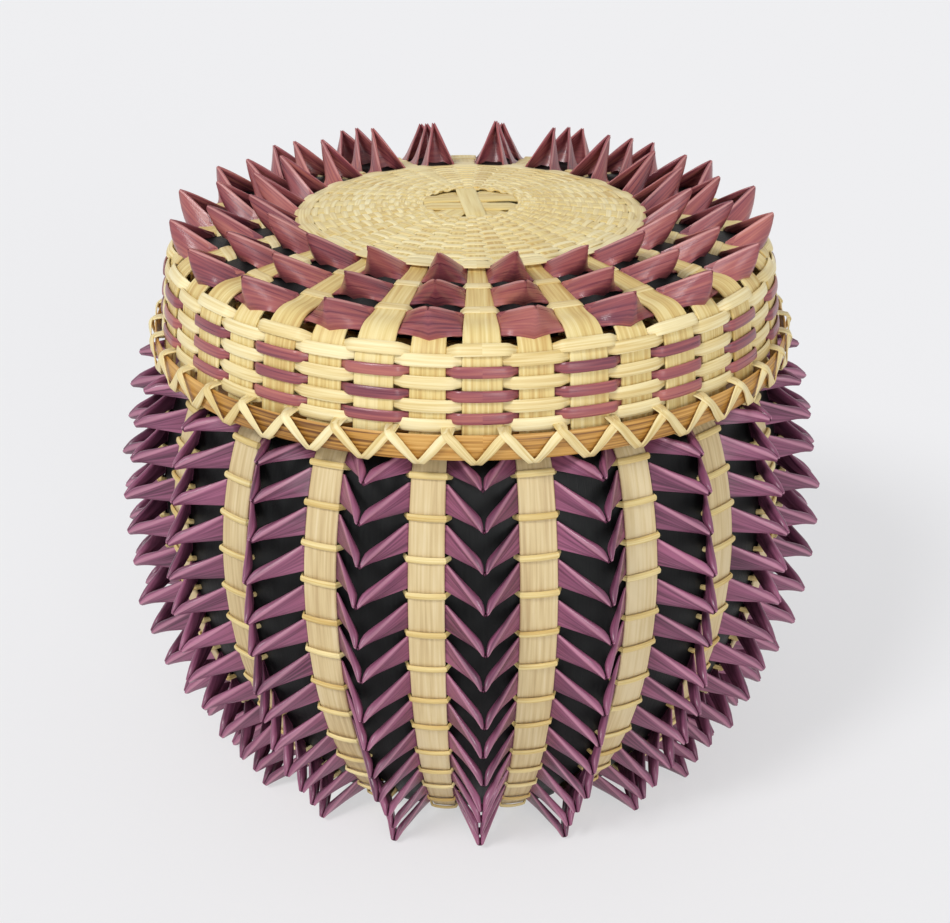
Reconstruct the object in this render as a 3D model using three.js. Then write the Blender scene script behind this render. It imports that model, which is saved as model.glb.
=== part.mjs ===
// A round lidded basket of ash splint with folded points, in millimetres, +Z up, standing on Z = 0.
// Natural and black stakes alternate round it. A plum splint folds out to a point over each black
// stake and runs behind each natural one, and a thin natural weaver runs the other way round.
import * as THREE from "three";

// Splint
const columns = 20; // natural stakes round the basket, with a black one between each two
const splint = 0.8; // thickness of every splint
const clearance = 0.3; // left between pieces that touch on the real basket
const stakeWidth = 9.4; // natural stake at the belly, narrower where the basket is
const blackMargin = 5.57; // left there between a black stake's edge and the natural one's
const overlayWidth = 5.4; // black overlay of the lid, if it ran as far out as the belly
const weaverWidth = 1.6; // thin natural weaver of the wall
const weaverBulge = 0.9; // how far a weaver stands out at its middle

// Basket wall, to the middle of the natural stakes
const baseRadius = 58;
const bellyRadius = 89.6;
const bellyHeight = 82;
const shoulderInset = 7.4; // how much narrower the shoulder is than the belly
const shoulderRise = 36.5; // from the belly up to the shoulder
const neckInset = 9.8; // from the shoulder in to the neck
const neckRise = 7.5; // from the shoulder up to the foot of the neck
const footReach = 16; // how far out the foot of the wall leans before it turns up
const footLean = 15.5;
const bellyRound = 36; // reach of the curve below the belly
const bellyUpper = 15; // reach of the curve above the belly

// Rows of points on the wall
const rows = 13;
const firstRow = 7.4; // along the wall from the edge of the base
const lastRow = 1.83; // along the wall from the top row to the shoulder
const rowWidth = 6.6; // of the folded plum splint
const pointReach = 12; // from the wall to the tip
const footAngle = -28; // slope of the points, in degrees below level
const bellyAngle = -18;
const shoulderAngle = 2;
const weaverSag = 0.075; // of a thin weaver, below the middle between two rows
const tuck = 1.3; // how far the fold starts from the edge of a natural stake
const ridgeRise = 1.1; // of the fold's ridge, over the middle of its splint
const tipAbove = 1.2; // how far the fold still reaches above and below a tip
const tipBelow = 1.8;
const tipDepth = 2; // how far behind the tip it does

// Base and rim of the basket
const hubRadius = 20; // the round where stakes cross
const weaveMargin = 4; // from the hub to the woven round of the base, and from there to its edge
const hoopHeight = 6.5;
const outerHoop = 2.5; // thickness
const innerHoop = 2.5;
const lashWidth = 2.2;
const lashThickness = 0.7;

// Lid, to the middle of its stakes, measured up from the foot of its rim
const crownHeight = 33; // at the round where its stakes cross
const crownDrop = 5.1; // from there down to the edge of the lid's top
const lidEdgeDrop = 4.3; // from that edge down to the top of the lid's side
const lidEdgeInset = 4.6; // from the top of the side in to that edge
const lidFlare = 2.7; // how much wider the side is at its foot
const lidOverhang = 2.1; // of the side's foot, over the basket's shoulder
const lidStakeGap = 4.67; // between the lid's stakes, if they ran as far out as the belly
const crownWeaveInner = 12;
const crownMargin = 5.57; // from the crown weave out to the first row
const crownThickness = 0.9;
const overlayTuck = 5.3; // how far the black overlays run on under the crown weave as stakes
const overlayRing = 8;
const lidRows = 3;
const lidLastRow = 1.83; // along the lid, from the last row out to the edge of its top
const lidRowPitch = 11.2;
const lidRowWidth = 6.4;
const lidPointReach = 13;
const lidInnerAngle = 57; // the lid's points lean out and up, the inner row most
const lidOuterAngle = 47;
const lidTopWeaverWidth = 1.6;
const lidWeaverDrop = 6.5; // from a row out to the weaver beyond it
const sideRows = 8; // weavers down the side of the lid
const sideRise = 1.4; // of the highest, over the top of the lid's side
const lidHoopHeight = 5.4;
const lidOuterHoop = 2.7;
const lidInnerHoop = 2;
const lidHoopEase = 0.9; // taken off the outer edges of the lid's hoop
const lidLashWidth = 2.1;

// Worked out from these
const turn = (2 * Math.PI) / columns;
const blackWidth = bellyRadius * turn - stakeWidth - 2 * blackMargin;
const lidStakeWidth = (bellyRadius * turn) / 2 - lidStakeGap;
const front = -Math.PI / 2; // a black stake stands at the front
const shoulderRadius = bellyRadius - shoulderInset;
const shoulderHeight = bellyHeight + shoulderRise;
const neckRadius = shoulderRadius - neckInset;
const neckHeight = shoulderHeight + neckRise;
const lidRimRadius = shoulderRadius + lidOverhang;
const lidShoulderRadius = lidRimRadius - lidFlare;
const lidTopRadius = lidShoulderRadius - lidEdgeInset;
const lidTopHeight = crownHeight - crownDrop;
const lidShoulderHeight = lidTopHeight - lidEdgeDrop;
const sideFirst = lidShoulderHeight + sideRise;
const behind = -(splint / 2 + clearance); // face of a splint that runs behind a stake
const before = splint / 2 + clearance; // face of a splint that runs over a stake
// The thin weaver has its corners over the natural stakes and runs straight behind the black
// ones. Where the basket is narrowest, it leaves the black stakes this far out.
const cornerLift = (width, radius) =>
  before + (width / 2) * (radius / bellyRadius) * Math.tan(turn / 2);
const flatOffset = (radius, lift) => (radius + lift) * Math.cos(turn / 2) - radius;
const blackOffset =
  flatOffset(baseRadius, cornerLift(stakeWidth, baseRadius) + weaverBulge) + clearance + splint / 2;
const baseHeight = blackOffset + splint / 2;

const natural = new THREE.MeshStandardMaterial({ color: 0xd9c08a, roughness: 0.6, metalness: 0 });
const plum = new THREE.MeshStandardMaterial({ color: 0x7b4460, roughness: 0.5, metalness: 0 });
const black = new THREE.MeshStandardMaterial({ color: 0x141516, roughness: 0.55, metalness: 0 });
const hoopWood = new THREE.MeshStandardMaterial({ color: 0xc08a3e, roughness: 0.5, metalness: 0 });

// A half section of the basket or lid as a line of corners from the middle outwards. Its outside
// lies on the right of the line for the basket and on the left for the lid.
class Profile {
  constructor(corners, outside) {
    this.corners = corners;
    this.outside = outside;
    this.starts = [0];
    for (let i = 1; i < corners.length; i++) {
      this.starts.push(this.starts[i - 1] + corners[i].distanceTo(corners[i - 1]));
    }
  }

  normal(i) {
    const along = this.corners[i + 1].clone().sub(this.corners[i]).normalize();
    return new THREE.Vector2(along.y, -along.x).multiplyScalar(this.outside);
  }

  // The point this far along the line and this far out from it.
  at(distance, offset) {
    const last = this.corners.length - 2;
    let i = 0;
    while (i < last && this.starts[i + 1] < distance) {
      i++;
    }
    const share = (distance - this.starts[i]) / (this.starts[i + 1] - this.starts[i]);
    return this.corners[i].clone().lerp(this.corners[i + 1], share).addScaledVector(this.normal(i), offset);
  }

  // A corner moved out from the line, on the mitre of the two stretches that meet there.
  corner(i, offset) {
    const after = this.normal(Math.min(i, this.corners.length - 2));
    const first = this.normal(Math.max(i - 1, 0));
    const mitre = first.add(after).normalize();
    return this.corners[i].clone().addScaledVector(mitre, offset / mitre.dot(after));
  }

  // How far along the line it passes this height, going down from its widest part.
  distanceAtHeight(height) {
    for (let i = this.corners.length - 2; i > 0; i--) {
      const a = this.corners[i];
      const b = this.corners[i + 1];
      if ((a.y - height) * (b.y - height) <= 0) {
        return this.starts[i] + ((height - a.y) / (b.y - a.y)) * (this.starts[i + 1] - this.starts[i]);
      }
    }
    return 0;
  }

  // Height of the line, moved out by an offset, at this radius.
  heightAtRadius(radius, offset) {
    if (radius <= this.corners[0].x) {
      return this.corner(0, offset).y;
    }
    for (let i = 0; i < this.corners.length - 1; i++) {
      const a = this.corner(i, offset);
      const b = this.corner(i + 1, offset);
      if (a.x <= radius && b.x >= radius) {
        return THREE.MathUtils.lerp(a.y, b.y, (radius - a.x) / (b.x - a.x));
      }
    }
    return 0;
  }
}

function corner(radius, height) {
  return new THREE.Vector2(radius, height);
}

// A point of a half section, stood at an angle round the axis and moved sideways.
function place(point, angle, aside) {
  return new THREE.Vector3(
    point.x * Math.cos(angle) - aside * Math.sin(angle),
    point.x * Math.sin(angle) + aside * Math.cos(angle),
    point.y,
  );
}

// A closed skin through sections of equal count that run round a loop. Each face between two
// sections is split on the diagonal that leaves the skin bulging out, so that no arm is pinched.
function loft(sections) {
  const points = sections.flat();
  const count = sections[0].length;
  const faces = [];
  for (let i = 0; i < sections.length; i++) {
    const a = i * count;
    const b = ((i + 1) % sections.length) * count;
    for (let j = 0; j < count; j++) {
      const k = (j + 1) % count;
      faces.push([a + j, b + j, b + k, a + k]);
    }
  }
  const sense = volume(points, faces.flatMap(([p, q, r, s]) => [p, q, r, p, r, s]));
  const index = faces.flatMap(([p, q, r, s]) => {
    const gained = volume(points, [p, q, r, p, r, s, p, s, q, q, s, r]);
    return gained * sense < 0 ? [p, q, s, q, r, s] : [p, q, r, p, r, s];
  });
  return facingOut(points, index);
}

// Six times the volume inside a closed skin, negative where its faces point inwards.
function volume(points, index) {
  let sum = 0;
  for (let i = 0; i < index.length; i += 3) {
    const [a, b, c] = [points[index[i]], points[index[i + 1]], points[index[i + 2]]];
    sum += a.dot(b.clone().cross(c));
  }
  return sum;
}

function facingOut(points, index) {
  if (volume(points, index) < 0) {
    index.reverse();
  }
  const geometry = new THREE.BufferGeometry().setFromPoints(points);
  geometry.setIndex(index);
  return geometry;
}

// A ring between two radii that lies this far out from a profile, from one face to the other.
function roundOn(profile, inner, outer, near, far) {
  const bend = profile.corners[0].x;
  const radii = inner < bend && bend < outer ? [inner, bend, outer] : [inner, outer];
  const face = (offset) => radii.map((r) => corner(r, profile.heightAtRadius(r, offset)));
  return lathe([...face(near), ...face(far).reverse()], columns);
}

// A closed outline turned round the axis in flat sides, with its corners between the stakes.
function lathe(outline, sides) {
  const area = outline.reduce((sum, p, i) => sum + p.cross(outline[(i + 1) % outline.length]), 0);
  const ring = area > 0 ? outline : outline.reverse();
  const geometry = new THREE.LatheGeometry([...ring, ring[0]], sides, Math.PI / sides);
  return geometry.rotateX(Math.PI / 2);
}

// One stake: sections of a flat splint along the profile from a radius outwards, narrower where
// the basket is. offsets says how far out from the profile its middle lies at each corner.
function stake(profile, angle, width, offsets, start) {
  return offsets.map((offset, i) => {
    const inner = profile.corner(i, offset - splint / 2);
    const outer = profile.corner(i, offset + splint / 2);
    if (i === 0) {
      inner.x = start;
      outer.x = start;
    }
    const side = ((width / 2) * Math.max(profile.corners[i].x, start)) / bellyRadius;
    return [
      place(inner, angle, -side),
      place(outer, angle, -side),
      place(outer, angle, side),
      place(inner, angle, side),
    ];
  });
}

// Stakes that cross: a flat hub, open in the middle or not, whose rim runs out into the stakes.
function star(profile, arms, hubInner, hubOuter) {
  const points = [];
  const index = [];
  const count = 4 * arms[0].offsets.length;
  const hub = count * arms.length;
  arms.forEach((arm) => {
    const sections = stake(profile, arm.angle, arm.width, arm.offsets, hubOuter);
    points.push(...sections.flat());
  });
  arms.forEach((arm) => {
    for (const face of [-splint / 2, splint / 2]) {
      const height = profile.corner(0, arm.offsets[0] + face).y;
      points.push(place(corner(hubInner, height), arm.angle, 0));
    }
  });
  arms.forEach((_, k) => {
    const a = k * count;
    const beside = (k + arms.length - 1) % arms.length;
    const b = beside * count;
    const near = hubInner > 0 ? hub + 2 * k : hub;
    const nearBeside = hubInner > 0 ? hub + 2 * beside : hub;
    for (let i = 0; i < count - 4; i += 4) {
      for (let j = 0; j < 4; j++) {
        const n = (j + 1) % 4;
        index.push(a + i + j, a + i + 4 + j, a + i + 4 + n, a + i + j, a + i + 4 + n, a + i + n);
      }
    }
    const end = a + count - 4;
    index.push(end, end + 2, end + 1, end, end + 3, end + 2);
    index.push(a + 1, a + 2, near + 1, a + 3, a, near);
    index.push(a, a + 1, b + 2, a, b + 2, b + 3);
    index.push(b + 2, a + 1, near + 1, a, b + 3, nearBeside);
    if (hubInner > 0) {
      index.push(b + 2, near + 1, nearBeside + 1, a, nearBeside, near);
      index.push(nearBeside + 1, near + 1, near, nearBeside + 1, near, nearBeside);
    }
  });
  return facingOut(points, index);
}

// The arms of a star: evenly spaced stakes, starting at the front but for a shift in steps.
function ringOfStakes(count, width, offsets, shift) {
  return Array.from({ length: count }, (_, k) => ({
    angle: front + ((k + shift) * 2 * Math.PI) / count,
    width,
    offsets: offsets(k),
  }));
}

// A thin weaver: over every natural stake with a corner, straight behind the stakes between.
function weaver(profile, distance, width, lift, bulge, shift) {
  const sections = Array.from({ length: columns }, (_, k) => {
    const angle = front + (k + shift) * turn;
    return [
      place(profile.at(distance - width / 2, lift), angle, 0),
      place(profile.at(distance, lift + bulge), angle, 0),
      place(profile.at(distance + width / 2, lift), angle, 0),
    ];
  });
  return loft(sections);
}

// A row of folded points: behind each plain stake, then out along two arms to a tip over the
// stake between. The fold's ridge runs along the arms, and their open side faces the basket's
// mouth, or the lid's middle. side is +1 where that way leads along the profile.
function pointRow(profile, distance, plainWidth, width, reach, tilt, side, shift) {
  const slope = THREE.MathUtils.degToRad(tilt);
  const along = new THREE.Vector2(Math.cos(slope), Math.sin(slope));
  const across = new THREE.Vector2(-along.y, along.x);
  const tip = profile.at(distance, 0).addScaledVector(along, reach);
  const root = [
    profile.at(distance + (side * width) / 2, behind - splint),
    profile.at(distance + side * ridgeRise, behind),
    profile.at(distance - (side * width) / 2, behind - splint),
  ];
  const point = [
    tip.clone().addScaledVector(along, -tipDepth).addScaledVector(across, tipAbove),
    tip,
    tip.clone().addScaledVector(along, -tipDepth).addScaledVector(across, -tipBelow),
  ];
  const radius = profile.at(distance, 0).x;
  const aside = ((plainWidth / 2) * radius) / bellyRadius + tuck;
  const sections = [];
  for (let k = 0; k < columns; k++) {
    const plain = front + (k + shift) * turn;
    sections.push(root.map((p) => place(p, plain, -aside)));
    sections.push(root.map((p) => place(p, plain, aside)));
    sections.push(point.map((p) => place(p, plain + turn / 2, 0)));
  }
  return loft(sections);
}

// A weaver of the lid's side that goes over the outer stakes and behind the inner ones.
function sideWeaver(profile, distance, width, outerOffset, shift) {
  const radius = profile.at(distance, 0).x;
  const aside = ((lidStakeWidth / 2) * radius) / bellyRadius + clearance;
  const over = outerOffset + before;
  const section = (near, far) => [
    profile.at(distance - width / 2, near),
    profile.at(distance, far),
    profile.at(distance + width / 2, near),
  ];
  const inner = section(behind - splint, behind);
  const outer = section(over, over + splint);
  const sections = [];
  for (let k = 0; k < columns; k++) {
    const angle = front + (k + shift) * turn;
    sections.push(outer.map((p) => place(p, angle, -aside)));
    sections.push(outer.map((p) => place(p, angle, aside)));
    sections.push(inner.map((p) => place(p, angle + turn / 2, -aside)));
    sections.push(inner.map((p) => place(p, angle + turn / 2, aside)));
  }
  return loft(sections);
}

// A hoop that lies flat against the stakes, with its outer edges eased by this much.
function hoop(inner, outer, bottom, top, ease) {
  const reach = Math.cos(turn / 4);
  const outline = [corner(inner / reach, bottom), corner(inner / reach, top)];
  if (ease > 0) {
    outline.push(
      corner((outer - ease) / reach, top),
      corner(outer / reach, (bottom + top) / 2),
      corner((outer - ease) / reach, bottom),
    );
  } else {
    outline.push(corner(outer / reach, top), corner(outer / reach, bottom));
  }
  return lathe(outline, 2 * columns);
}

// A lashing that winds round a rim: out through the wall beside one edge of the hoops, across
// their outside to the other edge, round it and back up the inside.
function lashing(inner, outer, through, round, width, wraps) {
  const away = clearance + lashThickness / 2;
  const up = Math.sign(through - round);
  const step = (2 * Math.PI) / wraps;
  const outside = outer / Math.cos(turn / 4) + away;
  const spread = outside / Math.cos(step / 4) - outside;
  const stations = [
    { x: outside + spread, y: through + up * away, dx: 1, dy: up, ahead: 0 },
    { x: outside + spread, y: round - up * away, dx: 1, dy: -up, ahead: 0.5 },
    { x: inner - away, y: round - up * away, dx: -1, dy: -up, ahead: 0.5 },
    { x: inner - away, y: through + up * away, dx: -1, dy: up, ahead: 1 },
  ];
  const half = lashThickness / 2;
  const sections = [];
  for (let k = 0; k < wraps; k++) {
    for (const s of stations) {
      const angle = front - turn / 4 + (k + s.ahead) * step;
      const near = corner(s.x - s.dx * half, s.y - s.dy * half);
      const far = corner(s.x + s.dx * half, s.y + s.dy * half);
      sections.push([place(near, angle, -width / 2), place(far, angle, 0), place(near, angle, width / 2)]);
    }
  }
  return loft(sections);
}

function add(group, name, geometry, material) {
  const shaded = geometry.index ? geometry.toNonIndexed() : geometry;
  shaded.computeVertexNormals();
  const mesh = new THREE.Mesh(shaded, material);
  mesh.name = name;
  group.add(mesh);
}

// Basket wall

const foot = new THREE.CubicBezierCurve(
  corner(baseRadius, baseHeight),
  corner(baseRadius + footReach, baseHeight + footLean),
  corner(bellyRadius, bellyHeight - bellyRound),
  corner(bellyRadius, bellyHeight),
);
const upper = new THREE.CubicBezierCurve(
  corner(bellyRadius, bellyHeight),
  corner(bellyRadius, bellyHeight + bellyUpper),
  corner(shoulderRadius + (bellyRadius - shoulderRadius) / 2, shoulderHeight - bellyUpper / 2),
  corner(shoulderRadius, shoulderHeight),
);

// Lid, which sets the height of the basket's rim. Its own rim stands on the slope of the black
// stakes between shoulder and neck, at the inner corner of the lashing.
const lidProfile = new Profile(
  [
    corner(hubRadius, crownHeight),
    corner(lidTopRadius, lidTopHeight),
    corner(lidShoulderRadius, lidShoulderHeight),
    corner(lidRimRadius, clearance),
  ],
  -1,
);
const lidHoopFoot = clearance;
const lidHoopTop = lidHoopFoot + lidHoopHeight;
const flare = (lidRimRadius - lidShoulderRadius) / (lidShoulderHeight - lidHoopFoot);
const lidInnerFace = lidRimRadius - before - flare * lidHoopHeight;
const lidRimInner = lidInnerFace - lidInnerHoop;
const lidOuterFace = lidRimRadius + blackOffset + before;
const lidRimOuter = lidOuterFace + lidOuterHoop;
const slope = new Profile([corner(neckRadius, neckHeight), corner(shoulderRadius, shoulderHeight)], -1);
const slopeFace = blackOffset + splint / 2 + clearance;
const lidFoot =
  slope.heightAtRadius(lidRimInner - clearance - lashThickness, slopeFace) + lashThickness;

const rimOuter = neckRadius + blackOffset + before + outerHoop;
const rimInner = neckRadius - before - innerHoop;
const lashOuter = rimOuter + clearance + lashThickness;
const rimTop =
  lidFoot + lidProfile.heightAtRadius(lashOuter, behind - splint) - 2 * clearance - lashThickness;

const wall = new Profile(
  [
    corner(hubRadius, baseHeight),
    ...foot.getPoints(3),
    ...upper.getPoints(2).slice(1),
    corner(neckRadius, neckHeight),
    corner(neckRadius, rimTop - clearance),
  ],
  1,
);

const basket = new THREE.Group();
const level = (offset) => () => wall.corners.map(() => offset);
add(
  basket,
  "natural_stakes",
  star(wall, ringOfStakes(columns, stakeWidth, level(0), 0.5), 0, hubRadius),
  natural,
);
add(
  basket,
  "black_stakes",
  star(wall, ringOfStakes(columns, blackWidth, level(blackOffset), 0), 0, hubRadius),
  black,
);
add(
  basket,
  "base_weave",
  roundOn(wall, hubRadius + weaveMargin, baseRadius - weaveMargin, before, blackOffset - before),
  natural,
);

const edge = wall.starts[1];
const shoulder = wall.starts[wall.corners.length - 3];
const rowPitch = (shoulder - edge - firstRow - lastRow) / (rows - 1);
for (let row = 0; row < rows; row++) {
  const distance = edge + firstRow + row * rowPitch;
  const height = wall.at(distance, 0).y;
  const tilt =
    height < bellyHeight
      ? THREE.MathUtils.mapLinear(height, 0, bellyHeight, footAngle, bellyAngle)
      : THREE.MathUtils.mapLinear(height, bellyHeight, shoulderHeight, bellyAngle, shoulderAngle);
  const label = String(rows - row).padStart(2, "0");
  const points = pointRow(wall, distance, stakeWidth, rowWidth, pointReach, tilt, 1, 0.5);
  const below = distance - rowPitch / 2 - weaverSag;
  const lift = cornerLift(stakeWidth, wall.at(below, 0).x);
  add(basket, "point_row_" + label, points, plum);
  add(
    basket,
    "thin_weaver_" + label,
    weaver(wall, below, weaverWidth, lift, weaverBulge, 0.5),
    natural,
  );
}

const hoopFoot = rimTop - hoopHeight;
const neckSpace = hoopFoot - clearance - lashThickness - neckHeight;
const neckDistance = wall.distanceAtHeight(neckHeight + neckSpace / 2);
const neckLift = cornerLift(stakeWidth, neckRadius);
add(
  basket,
  "neck_weaver",
  weaver(wall, neckDistance, neckSpace - 2 * clearance, neckLift, weaverBulge, 0.5),
  natural,
);
const hoopFace = neckRadius + blackOffset + before;
add(basket, "rim_outer_hoop", hoop(hoopFace, rimOuter, hoopFoot, rimTop, 0), hoopWood);
add(basket, "rim_inner_hoop", hoop(rimInner, neckRadius - before, hoopFoot, rimTop, 0), hoopWood);
add(
  basket,
  "rim_lashing",
  lashing(rimInner, rimOuter, hoopFoot, rimTop, lashWidth, columns),
  natural,
);

// Lid

const lid = new THREE.Group();
lid.position.z = lidFoot;
const last = lidProfile.corners.length - 1;
const lidOffsets = (k) =>
  lidProfile.corners.map((_, i) => (k % 2 === 0 && i >= last - 1 ? blackOffset : 0));
add(
  lid,
  "lid_stakes",
  star(lidProfile, ringOfStakes(2 * columns, lidStakeWidth, lidOffsets, 0), 0, hubRadius),
  natural,
);

const lidEdge = lidProfile.starts[1];
const lidRowDistance = (row) => lidEdge - lidLastRow - (lidRows - 1 - row) * lidRowPitch;
const crownWeaveRadius = lidProfile.at(lidRowDistance(0), 0).x - crownMargin;
const overlayHub = crownWeaveRadius - overlayTuck;
const overlayProfile = new Profile(
  [corner(overlayHub, lidProfile.heightAtRadius(overlayHub, 0)), ...lidProfile.corners.slice(1, last)],
  -1,
);
const overlayOffsets = () => overlayProfile.corners.map(() => blackOffset);
add(
  lid,
  "lid_black_overlays",
  star(
    overlayProfile,
    ringOfStakes(columns, overlayWidth, overlayOffsets, 0.5),
    overlayHub - overlayRing,
    overlayHub,
  ),
  black,
);
const crownFace = blackOffset + before;
add(
  lid,
  "crown_weave",
  roundOn(lidProfile, crownWeaveInner, crownWeaveRadius, crownFace, crownFace + crownThickness),
  natural,
);

for (let row = 0; row < lidRows; row++) {
  const distance = lidRowDistance(row);
  const tilt = THREE.MathUtils.lerp(lidInnerAngle, lidOuterAngle, row / (lidRows - 1));
  const points = pointRow(
    lidProfile,
    distance,
    lidStakeWidth,
    lidRowWidth,
    lidPointReach,
    tilt,
    -1,
    0,
  );
  add(lid, "lid_point_row_" + (row + 1), points, plum);
  if (row < lidRows - 1) {
    const beyond = distance + lidWeaverDrop;
    const bulge = blackOffset - splint / 2 - clearance - before;
    const ring = weaver(lidProfile, beyond, lidTopWeaverWidth, before, bulge, 0);
    add(lid, "lid_top_weaver_" + (row + 1), ring, natural);
  }
}

const sideSpace = sideFirst - (lidHoopTop + 2 * clearance + lashThickness);
const sidePitch = sideSpace / (sideRows - 1 / 2); // the lowest takes half a pitch below its middle
const sideWidth = sidePitch - clearance;
for (let row = 0; row < sideRows; row++) {
  const distance = lidProfile.distanceAtHeight(sideFirst - row * sidePitch);
  const name = "lid_side_weaver_" + (row + 1);
  if (row % 2 === 0) {
    const band = sideWeaver(lidProfile, distance, sideWidth, blackOffset, 0);
    add(lid, name, band, row === 0 ? natural : plum);
  } else {
    const lift = cornerLift(lidStakeWidth, lidProfile.at(distance, 0).x);
    add(lid, name, weaver(lidProfile, distance, sideWidth, lift, weaverBulge, 0.5), natural);
  }
}

add(
  lid,
  "lid_outer_hoop",
  hoop(lidOuterFace, lidRimOuter, lidHoopFoot, lidHoopTop, lidHoopEase),
  hoopWood,
);
add(lid, "lid_inner_hoop", hoop(lidRimInner, lidInnerFace, lidHoopFoot, lidHoopTop, 0), hoopWood);
add(
  lid,
  "lid_lashing",
  lashing(lidRimInner, lidRimOuter, lidHoopTop, lidHoopFoot, lidLashWidth, 2 * columns),
  natural,
);

const part = new THREE.Group();
part.add(basket, lid);
export default part;
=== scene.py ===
"""A round lidded basket of ash splint with folded points, dressed for the camera.

Lengths are in millimetres until a mesh is made, which is in metres. +Z is up, the basket stands
on Z = 0, and its front, a column of points, faces -Y. Angles round the basket start at +X.
"""

from __future__ import annotations

import logging
import math
from dataclasses import dataclass, field
from enum import Enum

import bmesh
import bpy
import numpy as np
from mathutils import Matrix, Vector

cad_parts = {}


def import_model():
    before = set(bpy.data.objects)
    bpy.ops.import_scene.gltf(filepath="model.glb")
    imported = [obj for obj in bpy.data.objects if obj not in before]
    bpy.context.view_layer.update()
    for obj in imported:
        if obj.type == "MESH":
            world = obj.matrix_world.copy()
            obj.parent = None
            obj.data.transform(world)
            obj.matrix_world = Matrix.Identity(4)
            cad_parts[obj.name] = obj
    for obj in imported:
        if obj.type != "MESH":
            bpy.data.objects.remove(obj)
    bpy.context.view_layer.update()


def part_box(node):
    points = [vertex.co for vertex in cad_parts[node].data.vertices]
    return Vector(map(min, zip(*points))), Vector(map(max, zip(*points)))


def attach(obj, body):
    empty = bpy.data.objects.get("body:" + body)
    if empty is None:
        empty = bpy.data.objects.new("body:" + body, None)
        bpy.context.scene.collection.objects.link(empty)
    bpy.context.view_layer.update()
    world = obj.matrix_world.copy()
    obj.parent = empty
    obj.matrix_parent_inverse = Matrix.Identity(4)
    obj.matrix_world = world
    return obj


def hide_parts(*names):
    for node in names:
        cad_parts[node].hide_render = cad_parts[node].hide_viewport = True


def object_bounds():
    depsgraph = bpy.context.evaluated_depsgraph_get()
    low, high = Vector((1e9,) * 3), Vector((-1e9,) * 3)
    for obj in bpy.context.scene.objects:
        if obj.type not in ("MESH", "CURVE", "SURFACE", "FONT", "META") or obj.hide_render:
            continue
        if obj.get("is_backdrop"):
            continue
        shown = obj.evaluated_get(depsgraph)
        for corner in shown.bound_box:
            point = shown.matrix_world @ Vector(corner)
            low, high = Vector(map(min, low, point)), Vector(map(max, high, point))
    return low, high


LOG = logging.getLogger("basket")

MM = 0.001
COLUMNS = 20
TURN = 2 * math.pi / COLUMNS
FRONT = -math.pi / 2
BELLY_RADIUS = 89.6
LANE = 12.0  # width of the grain map that a folded splint takes
SAME_PLACE = 1e-6
TINY = 1e-9
SWEEP_STEPS = 14
# Stations from one column to the next, for splints that run round.
HOOP_STEPS = 12
NECK_STEPS = 16
WEAVER_STEPS = 24
SIDE_STEPS = 32

Numbers = np.ndarray | float
Tree = bpy.types.NodeTree
Socket = bpy.types.NodeSocket


class Slot(Enum):
    """The record's material slots."""

    NATURAL = "natural_ash"
    PLUM = "plum_ash"
    BLACK = "black_ash"
    HOOP = "rim_hoop"


class Body(Enum):
    """The bodies that pieces ride on."""

    BASKET = "basket"
    LID = "lid"


def linear(code: str) -> tuple[float, float, float, float]:
    """Turns a hex colour as seen on screen into the linear colour that a shader takes.

    Args:
        code: Six hex digits.

    Returns:
        Red, green, blue and alpha.
    """
    parts = [int(code[i : i + 2], 16) / 255 for i in (0, 2, 4)]
    lit = [p / 12.92 if p <= 0.04045 else ((p + 0.055) / 1.055) ** 2.4 for p in parts]
    return (lit[0], lit[1], lit[2], 1.0)


def unit(vectors: np.ndarray) -> np.ndarray:
    """Scales vectors to length one along the last axis."""
    return vectors / np.maximum(np.linalg.norm(vectors, axis=-1, keepdims=True), TINY)


def smooth(value: Numbers) -> Numbers:
    """Eases a share from 0 to 1, flat at both ends."""
    share = np.clip(value, 0.0, 1.0)
    return share * share * (3 - 2 * share)


def bend(t: np.ndarray, start: np.ndarray, middle: np.ndarray, end: np.ndarray) -> np.ndarray:
    """Points on the curve that leaves start towards middle and comes to end from it."""
    return (1 - t) ** 2 * start + 2 * (1 - t) * t * middle + t**2 * end


def sweep(start: np.ndarray, leave: np.ndarray, come: np.ndarray, end: np.ndarray) -> np.ndarray:
    """Points on the curve that leaves start towards one point and comes to end from another."""
    t = np.linspace(0, 1, SWEEP_STEPS)[:, None]
    return (1 - t) ** 3 * start + 3 * (1 - t) ** 2 * t * leave + 3 * (1 - t) * t**2 * come + t**3 * end


def run_along(line: np.ndarray) -> np.ndarray:
    """Length of a line up to each of its points."""
    return np.concatenate([[0.0], np.cumsum(np.linalg.norm(np.diff(line, axis=0), axis=1))])


def closed(line: np.ndarray) -> bool:
    """Whether a line ends where it starts."""
    return bool(np.linalg.norm(line[0] - line[-1]) < SAME_PLACE)


def face_out(along: np.ndarray, across: np.ndarray, wanted: np.ndarray) -> np.ndarray:
    """Direction square to a splint's line and width, on the side that is wanted."""
    out = unit(np.cross(along, across))
    return out * np.sign(np.sum(out * wanted, -1, keepdims=True))


def spot(section: np.ndarray, angle: Numbers) -> np.ndarray:
    """Stands points of a half section at angles round the axis.

    Args:
        section: Radius and height of each point, along the last axis.
        angle: Angle round the axis.

    Returns:
        Points in space.
    """
    radius, height = section[..., 0], section[..., 1]
    x = radius * np.cos(angle)
    return np.stack([x, radius * np.sin(angle), height + 0 * x], -1)


def round_angles(steps: int) -> np.ndarray:
    """Stations all the way round, so many to a column, the last one back at the first."""
    return FRONT + np.linspace(0, 2 * math.pi, COLUMNS * steps + 1)


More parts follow.
